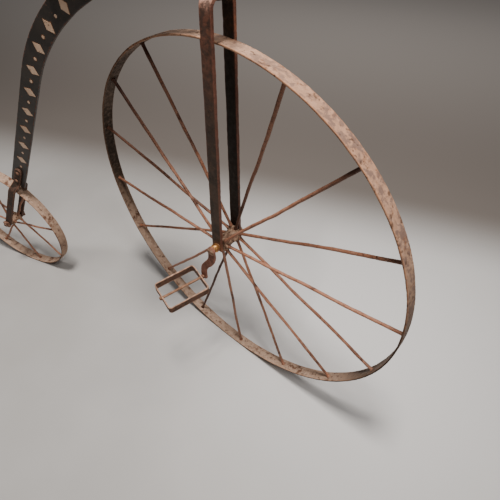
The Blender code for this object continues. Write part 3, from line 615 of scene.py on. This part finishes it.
def mark_rim(mesh, radius):
    """Stores painted shade, as the under attribute, on the hoop's right-hand side faces low down and at the
    front, and takes the rubbed and highlighted edge colour off there and, mostly, off the back, which is in
    shade too.
    """
    co, no = coordinates(mesh), normals(mesh)
    forwards, upwards = co[:, 0] / radius, co[:, 2] / radius
    # painted shade: the hoop's right-hand side faces, low down and at the front
    low = np.clip((-0.30 - upwards) / 0.25, 0, 1)
    ahead = np.clip((forwards - 0.80) / 0.1, 0, 1) * np.clip((0.30 - upwards) / 0.25, 0, 1)
    under = np.maximum(low, ahead) * np.clip((-no[:, 1] - 0.3) * 3, 0, 1)
    store(mesh, "under", under)
    # painted shade on the back: less of the lighter edge colour there
    behind = np.clip((-0.50 - forwards) / 0.2, 0, 1)
    store(mesh, "wear_and_highlight", stored(mesh, "wear_and_highlight") * (1 - np.maximum(0.9 * under, 0.65 * behind)))


def rim_piece(name, node, body, place, radius, count, seed, size):
    """A hoop, in count steps, that is out of true by about a size."""
    middle = radius - RIM_THICK / 2 - RIM_PLAY
    stations = []
    for i in range(count):
        a = 2 * math.pi * i / count
        out = Vector((math.cos(a), 0, math.sin(a)))
        tilt = 0.012 * math.sin(3 * a + seed)
        centre = out * middle + Vector((0, wobble(a, seed, size), 0))
        across = (Vector((0, 1, 0)) + out * tilt).normalized()
        stations.append((centre, across, (out - across * out.dot(across)).normalized()))
    section = bar_section(RIM_WIDTH - RIM_PLAY, RIM_THICK, 0.0008, 12, 2)
    mesh = sweep(name, stations, section, closed=True)
    mark_wear(mesh)
    # painted highlight along the hoop's side faces, taken off again by mark_rim where the hoop is in shade
    mark_sides(mesh, 1, 0.7)
    mark_rim(mesh, radius)
    roughen(mesh, seed, 0.00035, 0.00018, 0.00006, 0.0003)
    mesh.transform(place)
    finish_piece(name, mesh, body, [node], RIM_RUST)


def spoke_path(angle, side, root_radius, root_offset, rim_radius, seed, size):
    """From the hub to the rim, bowed and kinked. seed is the rim's own seed and the spoke's."""
    out = Vector((math.cos(angle), 0, math.sin(angle)))
    foot = out * root_radius + Vector((0, side * root_offset, 0))
    tip = out * (rim_radius - RIM_THICK + 0.0006) + Vector((0, wobble(angle, seed[0], size), 0))
    across = (tip - foot).cross(Vector((0, 1, 0))).normalized()
    other = (tip - foot).cross(across).normalized()
    count = max(20, round((tip - foot).length / 0.0035))
    points = []
    for i in range(count + 1):
        t = i / count
        fade = math.sin(math.pi * t) ** 0.7 if 0 < t < 1 else 0
        key = Vector((seed[1] * 7.7, t * 3.2, seed[0]))
        bow = across * noise.noise(key) * 0.0032 + other * noise.noise(key + Vector((5, 5, 5))) * 0.0026
        kink = across * noise.noise(Vector((seed[1] * 3.1, t * 11, 2.0))) * 0.0009
        points.append(foot.lerp(tip, t) + (bow + kink) * fade)
    return points


# The front spokes that darken towards the rim, and the shares of the way out where that starts and ends.
DARKENING = {1: (0.85, 1.1), 2: (0.55, 1.0), 5: (0.50, 0.95), 6: (0.48, 0.92), 7: (0.40, 1.05), 8: (0.70, 1.25),
        12: (0.3, 2.2)}
DARK_AT_HUB, BLACK_SPOKE = 3, 11


def darkening_at(number, share):
    """How black a front spoke is at a share of its way from the hub to the rim."""
    if number == BLACK_SPOKE:
        return 1.0
    if number == DARK_AT_HUB:
        return 0.95 - 0.65 * min(1.0, share * 1.3)
    if number not in DARKENING:
        return 0.0
    low, high = DARKENING[number]
    return min(1.0, max(0.0, (share - low) / (high - low)))


def spoke_piece(name, node, body, place, points, radius, seed, number=None):
    """A lumpy round bar, flared at the rim and at the hub. Only front spokes have a number."""
    count = len(points)
    total = sum((b - a).length for a, b in zip(points, points[1:]))
    radii = []
    for i in range(count):
        t = i / (count - 1)
        at_rim = max(0.0, 1 - (1 - t) * total / 0.0045)
        at_hub = max(0.0, 1 - t * total / 0.010)
        lump = 1 + 0.10 * noise.noise(Vector((seed * 2.7, t * 26, 3)))
        radii.append(radius * (lump + 0.85 * at_rim**1.6 + 0.5 * at_hub**1.5))
    mesh = tube(name, points, radii, 14)
    mark_wear(mesh, 200, 900)
    reach = np.linalg.norm(coordinates(mesh)[:, (0, 2)], axis=1) / FRONT_R
    store(mesh, "darkening", np.array([darkening_at(number, share) for share in reach]))
    roughen(mesh, seed, 0.0002, 0.0002, 0.00006, 0.00015)
    mesh.transform(place)
    finish_piece(name, mesh, body, [node], SPOKE_RUST)


def hub_piece(name, node, body, place, half, barrel, flange, offset, width, neck, spoke_count, seed):
    """A barrel and two flanges, built up with a bead of weld around every spoke. barrel, flange and neck are
    radii, half is half the hub's length, and offset and width are the flanges' places and thickness."""
    work = bmesh.new()
    stretches = ((-half, half, neck), (-offset, offset, barrel),
                 (offset - width / 2, offset + width / 2, flange),
                 (-offset - width / 2, -offset + width / 2, flange))
    for low, high, radius in stretches:
        made = bmesh.ops.create_cone(work, cap_ends=True, segments=40, radius1=radius, radius2=radius,
                                     depth=high - low)["verts"]
        turn = Matrix.Translation((0, (low + high) / 2, 0)) @ Matrix.Rotation(math.pi / 2, 4, "X")
        bmesh.ops.transform(work, matrix=turn, verts=made)
    for i in range(spoke_count):
        a, side = spoke_place(i, spoke_count)
        centre = Vector((math.cos(a) * flange * 0.97, side * offset, math.sin(a) * flange * 0.97))
        size = width * (0.62 + 0.12 * noise.noise(Vector((i * 1.9, seed, 0))))
        ellipsoid(work, centre, (size, size * 0.9, size), seed + i)
        if i % 3 == 0:
            lean = a + 0.25
            where = Vector((math.cos(lean) * barrel, side * offset * 0.35, math.sin(lean) * barrel))
            ellipsoid(work, where, (size * 0.8, size * 1.3, size * 0.8), seed + i + 40)
    mesh = remeshed(name, mesh_from(work, name), 0.0006, 4)
    mark_wear(mesh, 40, 500)
    roughen(mesh, seed, 0.0009, 0.0008, 0.0002, 0.0005)
    mesh.transform(place)
    finish_piece(name, mesh, body, [node], HUB_RUST)


def front_wheel():
    seed, size = 1.3, 0.0006
    rim_piece("front_rim_hoop", "front_rim", "front_wheel", FRONT, FRONT_R, 720, seed, size)
    for i in range(FRONT_SPOKES):
        a, side = spoke_place(i, FRONT_SPOKES)
        node = f"front_spoke_{i + 1:02d}"
        points = spoke_path(a, side, 0.0165, 0.019, FRONT_R, (seed, i + 1.0), size)
        spoke_piece(f"{node}_bar", node, "front_wheel", FRONT, points, 0.0031, i + 1.0, i)
    hub_piece("front_hub_forging", "front_hub", "front_wheel", FRONT, half=0.0234, barrel=0.0148,
              flange=0.0172, offset=0.019, width=0.0078, neck=0.0115, spoke_count=FRONT_SPOKES, seed=2.0)


def rear_wheel():
    seed, size = 4.1, 0.0004
    rim_piece("rear_rim_hoop", "rear_rim", "rear_wheel", REAR, REAR_R, 330, seed, size)
    for i in range(REAR_SPOKES):
        a, side = spoke_place(i, REAR_SPOKES)
        node = f"rear_spoke_{i + 1:02d}"
        points = spoke_path(a, side, 0.0125, 0.0115, REAR_R, (seed, i + 31.0), size)
        spoke_piece(f"{node}_bar", node, "rear_wheel", REAR, points, 0.0027, i + 31.0)
    hub_piece("rear_hub_forging", "rear_hub", "rear_wheel", REAR, half=0.0176, barrel=0.0096,
              flange=0.0129, offset=0.0115, width=0.0058, neck=0.0080, spoke_count=REAR_SPOKES, seed=6.0)


# ---- crank and pedal ----


def crank_outline(count):
    """Points down the middle of the S, and half its width at each. Its ends are half circles."""
    points, halves = [], []
    for i in range(count + 1):
        s = -CRANK_TOP + (CRANK_LENGTH + CRANK_TOP + CRANK_BOTTOM) * i / count
        share = min(1, max(0, s / CRANK_LENGTH))
        past_end = s - CRANK_LENGTH * share
        half = CRANK_TOP + (CRANK_BOTTOM - CRANK_TOP) * share
        if past_end:
            half = math.sqrt(max(half * half - past_end * past_end, 0.0012**2))
        slope = CRANK_SWAY * 2 * math.pi / CRANK_LENGTH
        points.append(Vector((CRANK_SWAY * math.sin(2 * math.pi * share) + slope * past_end, 0, -s)))
        halves.append(half)
    return points, halves


def crank_piece():
    """The S-shaped flat bar, with round ends."""
    width = 0.02
    points, halves = crank_outline(70)
    stations = []
    for i, point in enumerate(points):
        before, after = points[max(i - 1, 0)], points[min(i + 1, len(points) - 1)]
        across = (after - before).normalized().cross(Vector((0, 1, 0)))
        stations.append((point, across * (halves[i] * 2 / width), Vector((0, 1, 0))))
    mesh = sweep("crank_bar", stations, bar_section(width, CRANK_THICK, 0.0009, 8, 3))
    mark_wear(mesh)
    roughen(mesh, 8.0, 0.0005, 0.0006, 0.00018, 0.0003)
    lean = Matrix.Rotation(CRANK_LEAN, 4, "Y")
    mesh.transform(FRONT @ Matrix.Translation((0, -CRANK_MID, 0)) @ lean)
    finish_piece("crank_bar", mesh, "front_wheel", ["crank_right"], CRANK_RUST)


def rounded_loop(width, length, radius, steps=7):
    """A rectangle with round corners, which take so many steps each."""
    points = []
    hw, hl = width / 2 - radius, length / 2 - radius
    for quarter, (x, y) in enumerate(((hw, hl), (-hw, hl), (-hw, -hl), (hw, -hl))):
        for k in range(steps + 1):
            a = math.pi / 2 * (quarter + k / steps)
            points.append(Vector((x + radius * math.cos(a), y + radius * math.sin(a), 0)))
    return points


def pedal_loop():
    path = rounded_loop(PEDAL_WIDTH - PEDAL_BAR, PEDAL_LENGTH - PEDAL_BAR, PEDAL_CORNER)
    path = resample(path, 0.0022, closed=True)
    stations = planar_stations(path, (0, 0, 1), closed=True)
    section = bar_section(PEDAL_BAR_HEIGHT, PEDAL_BAR, 0.0007, 7, 2)
    mesh = sweep("pedal_loop", stations, section, closed=True)
    mark_wear(mesh)
    # painted highlight on the loop's top and bottom faces, on top of their rubbed edges
    mark_sides(mesh, 2, 0.9)
    roughen(mesh, 11.0, 0.0004, 0.00022, 0.00007, 0.0002)
    middle = Vector((0, -PEDAL_START - PEDAL_LENGTH / 2, -PEDAL_BAR_LOWERED))
    mesh.transform(PEDAL @ Matrix.Translation(middle) @ Matrix.Rotation(PEDAL_ROLL, 4, "Y"))
    finish_piece("pedal_loop", mesh, "pedal", ["pedal_frame"], PEDAL_RUST)


def pedal_pin():
    """A round bar from the crank's eye through the loop, with a domed head outside it."""
    outside = PEDAL_START + PEDAL_LENGTH
    start, end = -0.0035, outside + 0.0006
    head_start, head_length = outside + 0.0009, 0.0041
    points, radii = [], []
    for i in range(61):
        points.append(Vector((0, -(start + (end - start) * i / 60), 0)))
        radii.append(0.0029)
    for k in range(8):
        t = k / 7
        points.append(Vector((0, -(head_start + head_length * t), 0)))
        radii.append(0.0047 * math.sqrt(max(0.05, 1 - (t * 0.97) ** 2.5)))
    mesh = tube("pedal_pin_bar", points, radii, 14)
    mark_wear(mesh, 200, 900)
    roughen(mesh, 12.0, 0.0002, 0.00012, 0.00005, 0.0001)
    mesh.transform(PEDAL)
    finish_piece("pedal_pin_bar", mesh, "front_wheel", ["pedal_pin"], PEDAL_PIN_RUST)


# ---- fork, steering and handlebar ----


def fork_piece():
    """Runs up the right leg, over the crown and down the left leg. The far leg is the left one."""
    width = 0.02
    side, foot, corner = CROWN_SPACING / 2, LEG_SPACING / 2, CROWN - CROWN_BEND
    right = [Vector((0, -foot, FORK_FOOT)), Vector((0, -foot, LEGS_LEAN_FROM))]
    for k in range(11):
        a = math.pi / 2 * k / 10
        inwards = CROWN_BEND - CROWN_BEND * math.cos(a)
        right.append(Vector((0, -side + inwards, corner + CROWN_BEND * math.sin(a))))
    path = resample(right + [Vector((0, -p.y, p.z)) for p in reversed(right)], 0.003)
    scales = []
    for point in path:
        share = max(0.0, (corner - point.z) / (corner - FORK_FOOT))
        wave = 0.02 * noise.noise(Vector((point.z * 14, point.y * 40, 4))) - 0.01
        scales.append((CROWN_WIDTH + (FOOT_WIDTH - CROWN_WIDTH) * share) / width * (1 + wave))
        point.x = -FOOT_BACK * share
    stations = planar_stations(path, (1, 0, 0), scales)
    mesh = sweep("fork_bar", stations, bar_section(width, FORK_THICK, 0.0009, 10, 4))
    mark_wear(mesh)
    mark_sides(mesh, 0, 0.8)
    co = coordinates(mesh)
    far = np.clip((co[:, 1] - 0.012) / 0.006, 0, 1) * (np.abs(normals(mesh)[:, 0]) < 0.7)
    far *= np.clip(0.78 + co[:, 2], 0, 1)
    store(mesh, "far_leg", far)
    roughen(mesh, 15.0, 0.0005, 0.00028, 0.00010, 0.0003)
    mesh.transform(FRONT)
    finish_piece("fork_bar", mesh, "steering", ["front_fork"], FORK_IRON)


def forged(name, node, body, material, voxel, seed, rough=1.0):
    """A CAD solid with its edges worn round, by about a voxel, and its surface uneven."""
    mesh = remeshed(name, cad_mesh(node), voxel)
    mark_wear(mesh, 60, 500)
    roughen(mesh, seed, 0.0004 * rough, 0.00022 * rough, 0.00008 * rough, 0.0002 * rough)
    finish_piece(name, mesh, body, [node], material)


def forged_dark(name, node, body, voxel, seed, rough=1.0):
    forged(name, node, body, DARK_IRON, voxel, seed, rough)


def forged_old(name, node, body, voxel, seed, rough=1.0):
    forged(name, node, body, OLD_IRON, voxel, seed, rough)


def handlebar_piece():
    """Through the lug, then outwards, back and down on each side to the grips."""
    forwards, back, drop = 0.0195, 0.06, 0.03
    inner, reach, grip = 0.03, 0.16, 0.028
    lug_low, lug_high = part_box("handlebar_lug")
    height = (lug_low.z + lug_high.z) / 2
    halves = []
    for side in (-1, 1):
        points = []
        for i in range(12):
            share = i / 11
            ease = share * share * (3 - 2 * share)
            across = side * (inner + reach * share)
            points.append(Vector((forwards - back * share * share, across, height - drop * ease)))
        outward = (points[-1] - points[-2]).normalized()
        points.append(points[-1] + outward * grip)
        halves.append(points)
    path = softened(resample(halves[0][::-1] + halves[1], 0.004), 4)
    radii = [0.0062 * (1 + 0.02 * noise.noise(Vector((i * 0.3, 7, 7)))) for i in range(len(path))]
    mesh = tube("handlebar_bar", path, radii, 18)
    mark_wear(mesh, 100, 600)
    roughen(mesh, 21.0, 0.0003, 0.00018, 0.00007, 0.0002)
    mesh.transform(STEER)
    finish_piece("handlebar_bar", mesh, "steering", ["handlebar"], DARK_IRON)


# ---- backbone, rear fork and saddle ----

# The backbone is an arc around the front axle and then a straight tail towards the rear axle. Both are drawn
# flat, forwards and up, in the frame's middle plane.
HUB_XZ = Vector((0, FRONT_R))
REAR_XZ = Vector((REAR.translation.x, REAR.translation.z))
ARC_MIDDLE = ARC_INNER + ARC_DEPTH / 2
TO_REAR = REAR_XZ - HUB_XZ
ARC_END = math.atan2(TO_REAR.y, TO_REAR.x) % (2 * math.pi) - math.acos(ARC_MIDDLE / TO_REAR.length)
TAIL_WAY = Vector((-math.sin(ARC_END), math.cos(ARC_END)))


def backbone_path(step=0.0035):
    start = math.acos(HEAD_BACK / ARC_MIDDLE)
    count = round((ARC_END - start) * ARC_MIDDLE / step)
    points = []
    for i in range(count + 1):
        a = start + (ARC_END - start) * i / count
        points.append(HUB_XZ + Vector((math.cos(a), math.sin(a))) * ARC_MIDDLE)
    tail = resample([points[-1], REAR_XZ - TAIL_WAY * TAIL_SHORT], step)
    return points + tail[1:]


def backbone_piece():
    path = [Vector((p.x, 0, p.y)) for p in backbone_path()]
    stations = [(centre, out, side) for centre, side, out in planar_stations(path, (0, 1, 0))]
    mesh = sweep("backbone_bar", stations, bar_section(ARC_DEPTH, BAR_THICK, 0.0008, 16, 3))
    mark_wear(mesh)
    roughen(mesh, 25.0, 0.0004, 0.00015, 0.00006, 0.00012)
    finish_piece("backbone_bar", mesh, "frame", ["backbone"], BLACK_PAINT)


MOTIF_STEP = 0.002
MOTIFS_START, MOTIFS_END, MOTIF_SPACING = 46, 30, 14  # in steps along the bar


def motif_outline(kind, grow):
    """One painted motif's outline, along and across the bar, in metres."""
    if kind == "lozenge":
        along, across = 0.0085 + grow, 0.0125 + grow * 1.3
        return [(along, 0), (0, across), (-along, 0), (0, -across)]
    size = 0.0027 + grow
    return [(size * math.cos(2 * math.pi * k / 14), size * math.sin(2 * math.pi * k / 14)) for k in range(14)]


def motif_row(side, grow, lift):
    """A row of lozenges and dots on one face of the bar. lift is how far they stand out from it."""
    path = backbone_path(MOTIF_STEP)
    depth, off_middle = 0.0005, -0.003
    work = bmesh.new()
    for n, index in enumerate(range(MOTIFS_START, len(path) - MOTIFS_END, MOTIF_SPACING)):
        along = (path[index + 1] - path[index - 1]).normalized()
        up = Vector((along.y, -along.x))
        ring = []
        for a, b in motif_outline("lozenge" if n % 2 == 0 else "dot", grow):
            p = path[index] + along * a + up * (b + off_middle)
            ring.append(work.verts.new((p.x, side * (BAR_THICK / 2 + lift), p.y)))
        raised = bmesh.ops.extrude_face_region(work, geom=[work.faces.new(ring)])["geom"]
        for vert in raised:
            if isinstance(vert, bmesh.types.BMVert):
                vert.co.y -= side * depth
    bmesh.ops.recalc_face_normals(work, faces=work.faces)
    mesh = mesh_from(work, "motifs")
    mesh.attributes.new("wear_and_highlight", "FLOAT", "POINT")
    return mesh


def painted_motifs():
    """The rows on both faces of the bar: cream, with a brown border that shows around them."""
    layers = (("border", 0.0013, 0.00012, BROWN_PAINT), ("cream", 0.0, 0.00030, CREAM_PAINT))
    for side, label in ((-1, "right"), (1, "left")):
        for layer, grow, lift, material in layers:
            mesh = motif_row(side, grow, lift)
            mesh.materials.append(material)
            obj = new_object(f"painted_row_{label}_{layer}", mesh)
            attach(obj, "frame")


def blade_pieces():
    """Two bars from the backbone's tail, where they lie flat against it, to both ends of the rear axle."""
    clamped, spread = 0.0053, 0.0215  # from the middle plane
    top, tip, bend, round_from = -0.262, 0.014, 0.0016, 0.009
    lean = math.atan2(TAIL_WAY.y, TAIL_WAY.x)
    place = Matrix.Translation((REAR_XZ.x, 0, REAR_XZ.y)) @ Matrix.Rotation(-lean, 4, "Y")
    for side, label in ((-1, "right"), (1, "left")):
        corners = ((top, clamped), (-0.206, clamped), (-0.198, clamped + bend), (-0.182, spread - bend),
                   (-0.174, spread), (tip, spread))
        path = softened(resample([Vector((x, side * y, 0)) for x, y in corners], 0.003), 3)
        scales = []
        for point in path:
            reach = min(point.x - top, tip - point.x)
            scales.append(rounded_end(reach / round_from, 0.02) if reach < round_from else 1.0)
        stations = planar_stations(path, (0, 0, 1), scales)
        mesh = sweep("blade", stations, bar_section(BLADE_WIDTH, BLADE_THICK, 0.0009, 7, 3))
        mark_wear(mesh)
        roughen(mesh, 30.0 + side, 0.0004, 0.00022, 0.00008, 0.00025)
        mesh.transform(place)
        finish_piece(f"rear_blade_{label}", mesh, "frame", [f"rear_fork_{label}"], DARK_IRON)


def weld_bead(name, points, radius, seed):
    """A row of overlapping lumps along a joint."""
    work = bmesh.new()
    for i, point in enumerate(resample(points, radius * 0.9)):
        size = radius * (1 + 0.25 * noise.noise(Vector((i * 1.3, seed, 2))))
        ellipsoid(work, point, (size, size, size * 0.9), seed + i)
    mesh = remeshed(name, mesh_from(work, name), 0.0005, 2)
    mark_wear(mesh, 100, 900)
    roughen(mesh, seed, 0.0002, 0.0002, 0.0001, 0.0002)
    finish_piece(name, mesh, "frame", [], OLD_IRON)


def small_frame_pieces():
    forged_dark("head_tube_forging", "head_tube", "frame", 0.0008, 41.0, 0.5)
    low = HUB_XZ.y + ARC_INNER + 0.001
    for y, label in ((-0.0034, "right"), (0.0034, "left")):
        ends = [Vector((HEAD_BACK, y, low)), Vector((HEAD_BACK, y, low + ARC_DEPTH - 0.002))]
        weld_bead(f"head_weld_{label}", ends, 0.0024, 43.0 + y * 100)
    rivets = ("rear_fork_rivet_1", "rear_fork_rivet_2", "saddle_clip_rivet", "saddle_rivet_1",
              "saddle_rivet_2")
    for k, rivet in enumerate(rivets):
        forged_old(f"{rivet}_heads", rivet, "frame", 0.0004, 50.0 + k)
    forged_old("rear_axle_bar", "rear_axle", "frame", 0.0005, 60.0)
    forged_old("rear_nut_right_forging", "rear_nut_right", "frame", 0.0005, 61.0)
    forged_old("rear_nut_left_forging", "rear_nut_left", "frame", 0.0005, 62.0)
    forged_dark("saddle_clip_strap", "saddle_clip", "frame", 0.0006, 63.0)


def steering_pieces():
    forged_dark("stem_forging", "steering_stem", "steering", 0.0006, 70.0)
    forged_old("lower_washer_disc", "lower_washer", "steering", 0.0005, 71.0, 0.4)
    forged_old("upper_washer_disc", "upper_washer", "steering", 0.0005, 72.0, 0.4)
    forged_dark("lug_block", "handlebar_lug", "steering", 0.0007, 73.0, 1.4)
    forged_old("nut_block", "stem_nut", "steering", 0.0005, 74.0, 1.2)
    forged_old("grip_right_forging", "grip_right", "steering", 0.0007, 75.0)
    forged_old("grip_left_forging", "grip_left", "steering", 0.0007, 76.0)


def boss_piece():
    """A worn round knob between the fork's foot and the crank, slimmer at both ends."""
    gap, least, swell = 0.0005, 0.0058, 0.0036
    low, high = LEG_SPACING / 2 + FORK_THICK / 2 + gap, CRANK_MID - CRANK_THICK / 2 - gap
    points, radii = [], []
    for k in range(25):
        t = k / 24
        points.append(Vector((0, -(low + (high - low) * t), 0)))
        radii.append(least + swell * math.sin(math.pi * min(1, 0.04 + t * 0.98)) ** 0.8)
    mesh = remeshed("crank_boss_knob", tube("crank_boss_knob", points, radii, 36), 0.0005)
    mark_wear(mesh, 60, 500)
    roughen(mesh, 81.0, 0.0005, 0.0004, 0.0001, 0.0002)
    mesh.transform(FRONT)
    finish_piece("crank_boss_knob", mesh, "front_wheel", ["crank_boss"], BRASS)


def axle_pieces():
    forged("front_axle_bar", "front_axle", "front_wheel", AXLE_IRON, 0.0005, 80.0, 1.2)
    boss_piece()
    forged_old("pedal_collar_ring", "pedal_collar", "front_wheel", 0.0004, 82.0)


def saddle_points(seat, across_count, along_count):
    """Rows of points across the pan: narrow in front, raised at both ends and drooping at the sides."""
    front, length, narrow, wide = -0.05, 0.19, 0.038, 0.14
    above_spring, rise_size, droop_size = 0.0021, 0.016, 0.016
    points = []
    for i in range(along_count + 1):
        along = i / along_count
        widening = along * along * (3 - 2 * along)
        half = (narrow + (wide - narrow) * widening) / 2
        from_end = min(along, 1 - along) / 0.2
        if from_end < 1:
            half *= 0.4 + 0.6 * rounded_end(from_end, 0)
        rise = rise_size * (2 * along - 1.05) ** 4
        for j in range(across_count + 1):
            across = 2 * j / across_count - 1
            droop = droop_size * (1 - widening * 0.5) * across**4
            points.append((front - length * along, half * across, seat + above_spring + rise - droop))
    return points


def grid_faces(columns, rows):
    """The faces of a grid whose points run along its rows first, with one more point than faces each way."""
    row = columns + 1
    return [(i * row + j, i * row + j + 1, (i + 1) * row + j + 1, (i + 1) * row + j)
            for i in range(rows) for j in range(columns)]


def saddle_pieces():
    """A thin pressed pan on the CAD's leaf spring."""
    across_count, along_count = 48, 84
    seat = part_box("saddle_spring")[1].z
    mesh = bpy.data.meshes.new("saddle_pan")
    points = saddle_points(seat, across_count, along_count)
    mesh.from_pydata(points, [], grid_faces(across_count, along_count))
    obj = new_object("saddle_pan_shape", mesh)
    sheet = obj.modifiers.new("sheet", "SOLIDIFY")
    sheet.thickness = 0.0028
    sheet.offset = 0
    edge = obj.modifiers.new("edge", "BEVEL")
    edge.width = 0.0009
    edge.segments = 2
    mesh = evaluated(obj)
    mark_wear(mesh)
    roughen(mesh, 90.0, 0.0010, 0.00025, 0.00006, 0.00025)
    finish_piece("saddle_pan", mesh, "frame", ["saddle"], OLD_IRON)
    forged_dark("saddle_leaf_spring", "saddle_spring", "frame", 0.0009, 91.0)


# ---- studio ----


def floor_material():
    """Pale paper with a painted pool of light by the front wheel. Its far part has painted shade, as in the
    photograph.
    """
    t = Tree("studio_grey")
    mottled = t.noise(t.moved((0, 0, 0)), 3.0, 3)
    floor = t.mix(t.ramp(mottled, 0.3, 0.7), (0.40, 0.375, 0.35), (0.44, 0.415, 0.39))
    # painted pool of light around the front wheel
    floor = t.mix(t.near((0.35, 0.20, 0.0), 0.95), floor, (0.66, 0.63, 0.605))
    # painted shade on the floor behind the wheel: darkest just behind it, lighter again far back
    split = t.nodes.new("ShaderNodeSeparateXYZ")
    t.link(t.moved((0, 0, 0)), split.inputs["Vector"])
    back = t.math("ADD", split.outputs["Y"], t.times(split.outputs["X"], -0.10))
    shade = t.mix(t.ramp(back, 0.9, 3.2), (0.165, 0.140, 0.122), (0.52, 0.47, 0.43))
    t.link(t.mix(t.ramp(back, 0.44, 0.78), floor, shade), t.shader.inputs["Base Color"])
    t.shader.inputs["Roughness"].default_value = 0.9
    t.shader.inputs["Specular IOR Level"].default_value = 0.2
    return t.material


def studio():
    """A flat paper floor just under the wheels."""
    size, count, below = 9.0, 60, 0.0004
    steps = [-size + 2 * size * i / count for i in range(count + 1)]
    verts = [(x, y, -below) for y in steps for x in steps]
    mesh = bpy.data.meshes.new("studio_floor")
    mesh.from_pydata(verts, [], grid_faces(count, count))
    mesh.shade_smooth()
    mesh.materials.append(floor_material())
    new_object("studio_floor", mesh)


def light(name, place, aim, size, energy, colour=(1, 1, 1)):
    """A soft lamp. size is its width and height, and energy is in watts."""
    data = bpy.data.lights.new(name, "AREA")
    data.shape = "RECTANGLE"
    data.size, data.size_y = size
    data.energy = energy
    data.color = colour
    obj = new_object(name, data)
    obj.location = place
    obj.rotation_euler = (Vector(aim) - Vector(place)).to_track_quat("-Z", "Y").to_euler()


def lights_and_camera():
    """A key light nearly overhead, a weaker one from the right and a faint one from behind. The camera stands
    where the photograph's camera was, worked out from the front wheel's outline."""
    light("key", (-0.05, -0.22, 2.7), (-0.05, 0.02, 0.3), (0.42, 0.42), 84, (1.0, 0.98, 0.96))
    light("right", (1.2, -0.85, 2.5), (0, 0, 0.3), (0.5, 0.5), 24)
    light("back", (-0.75, 1.2, 2.3), (-0.05, 0.05, 0.3), (1.2, 0.8), 6)
    world = bpy.data.worlds.new("studio")
    bpy.context.scene.world = world
    world.use_nodes = True
    world.node_tree.nodes["Background"].inputs["Color"].default_value = (0.62, 0.62, 0.64, 1)
    world.node_tree.nodes["Background"].inputs["Strength"].default_value = 0.14

    data = bpy.data.cameras.new("camera")
    data.sensor_width = 36
    data.lens = 27.612
    data.clip_start = 0.01
    camera = new_object("camera", data)
    right = Vector((0.918573, 0.395099, 0.010760))
    up = Vector((-0.297961, 0.674341, 0.675640))
    camera.matrix_world = matrix_from((0.254811, -0.493444, 0.948442), right, up, right.cross(up))
    bpy.context.scene.camera = camera


front_wheel()
rear_wheel()
crank_piece()
pedal_loop()
pedal_pin()
fork_piece()
handlebar_piece()
steering_pieces()
axle_pieces()
backbone_piece()
painted_motifs()
blade_pieces()
small_frame_pieces()
saddle_pieces()
studio()
lights_and_camera()
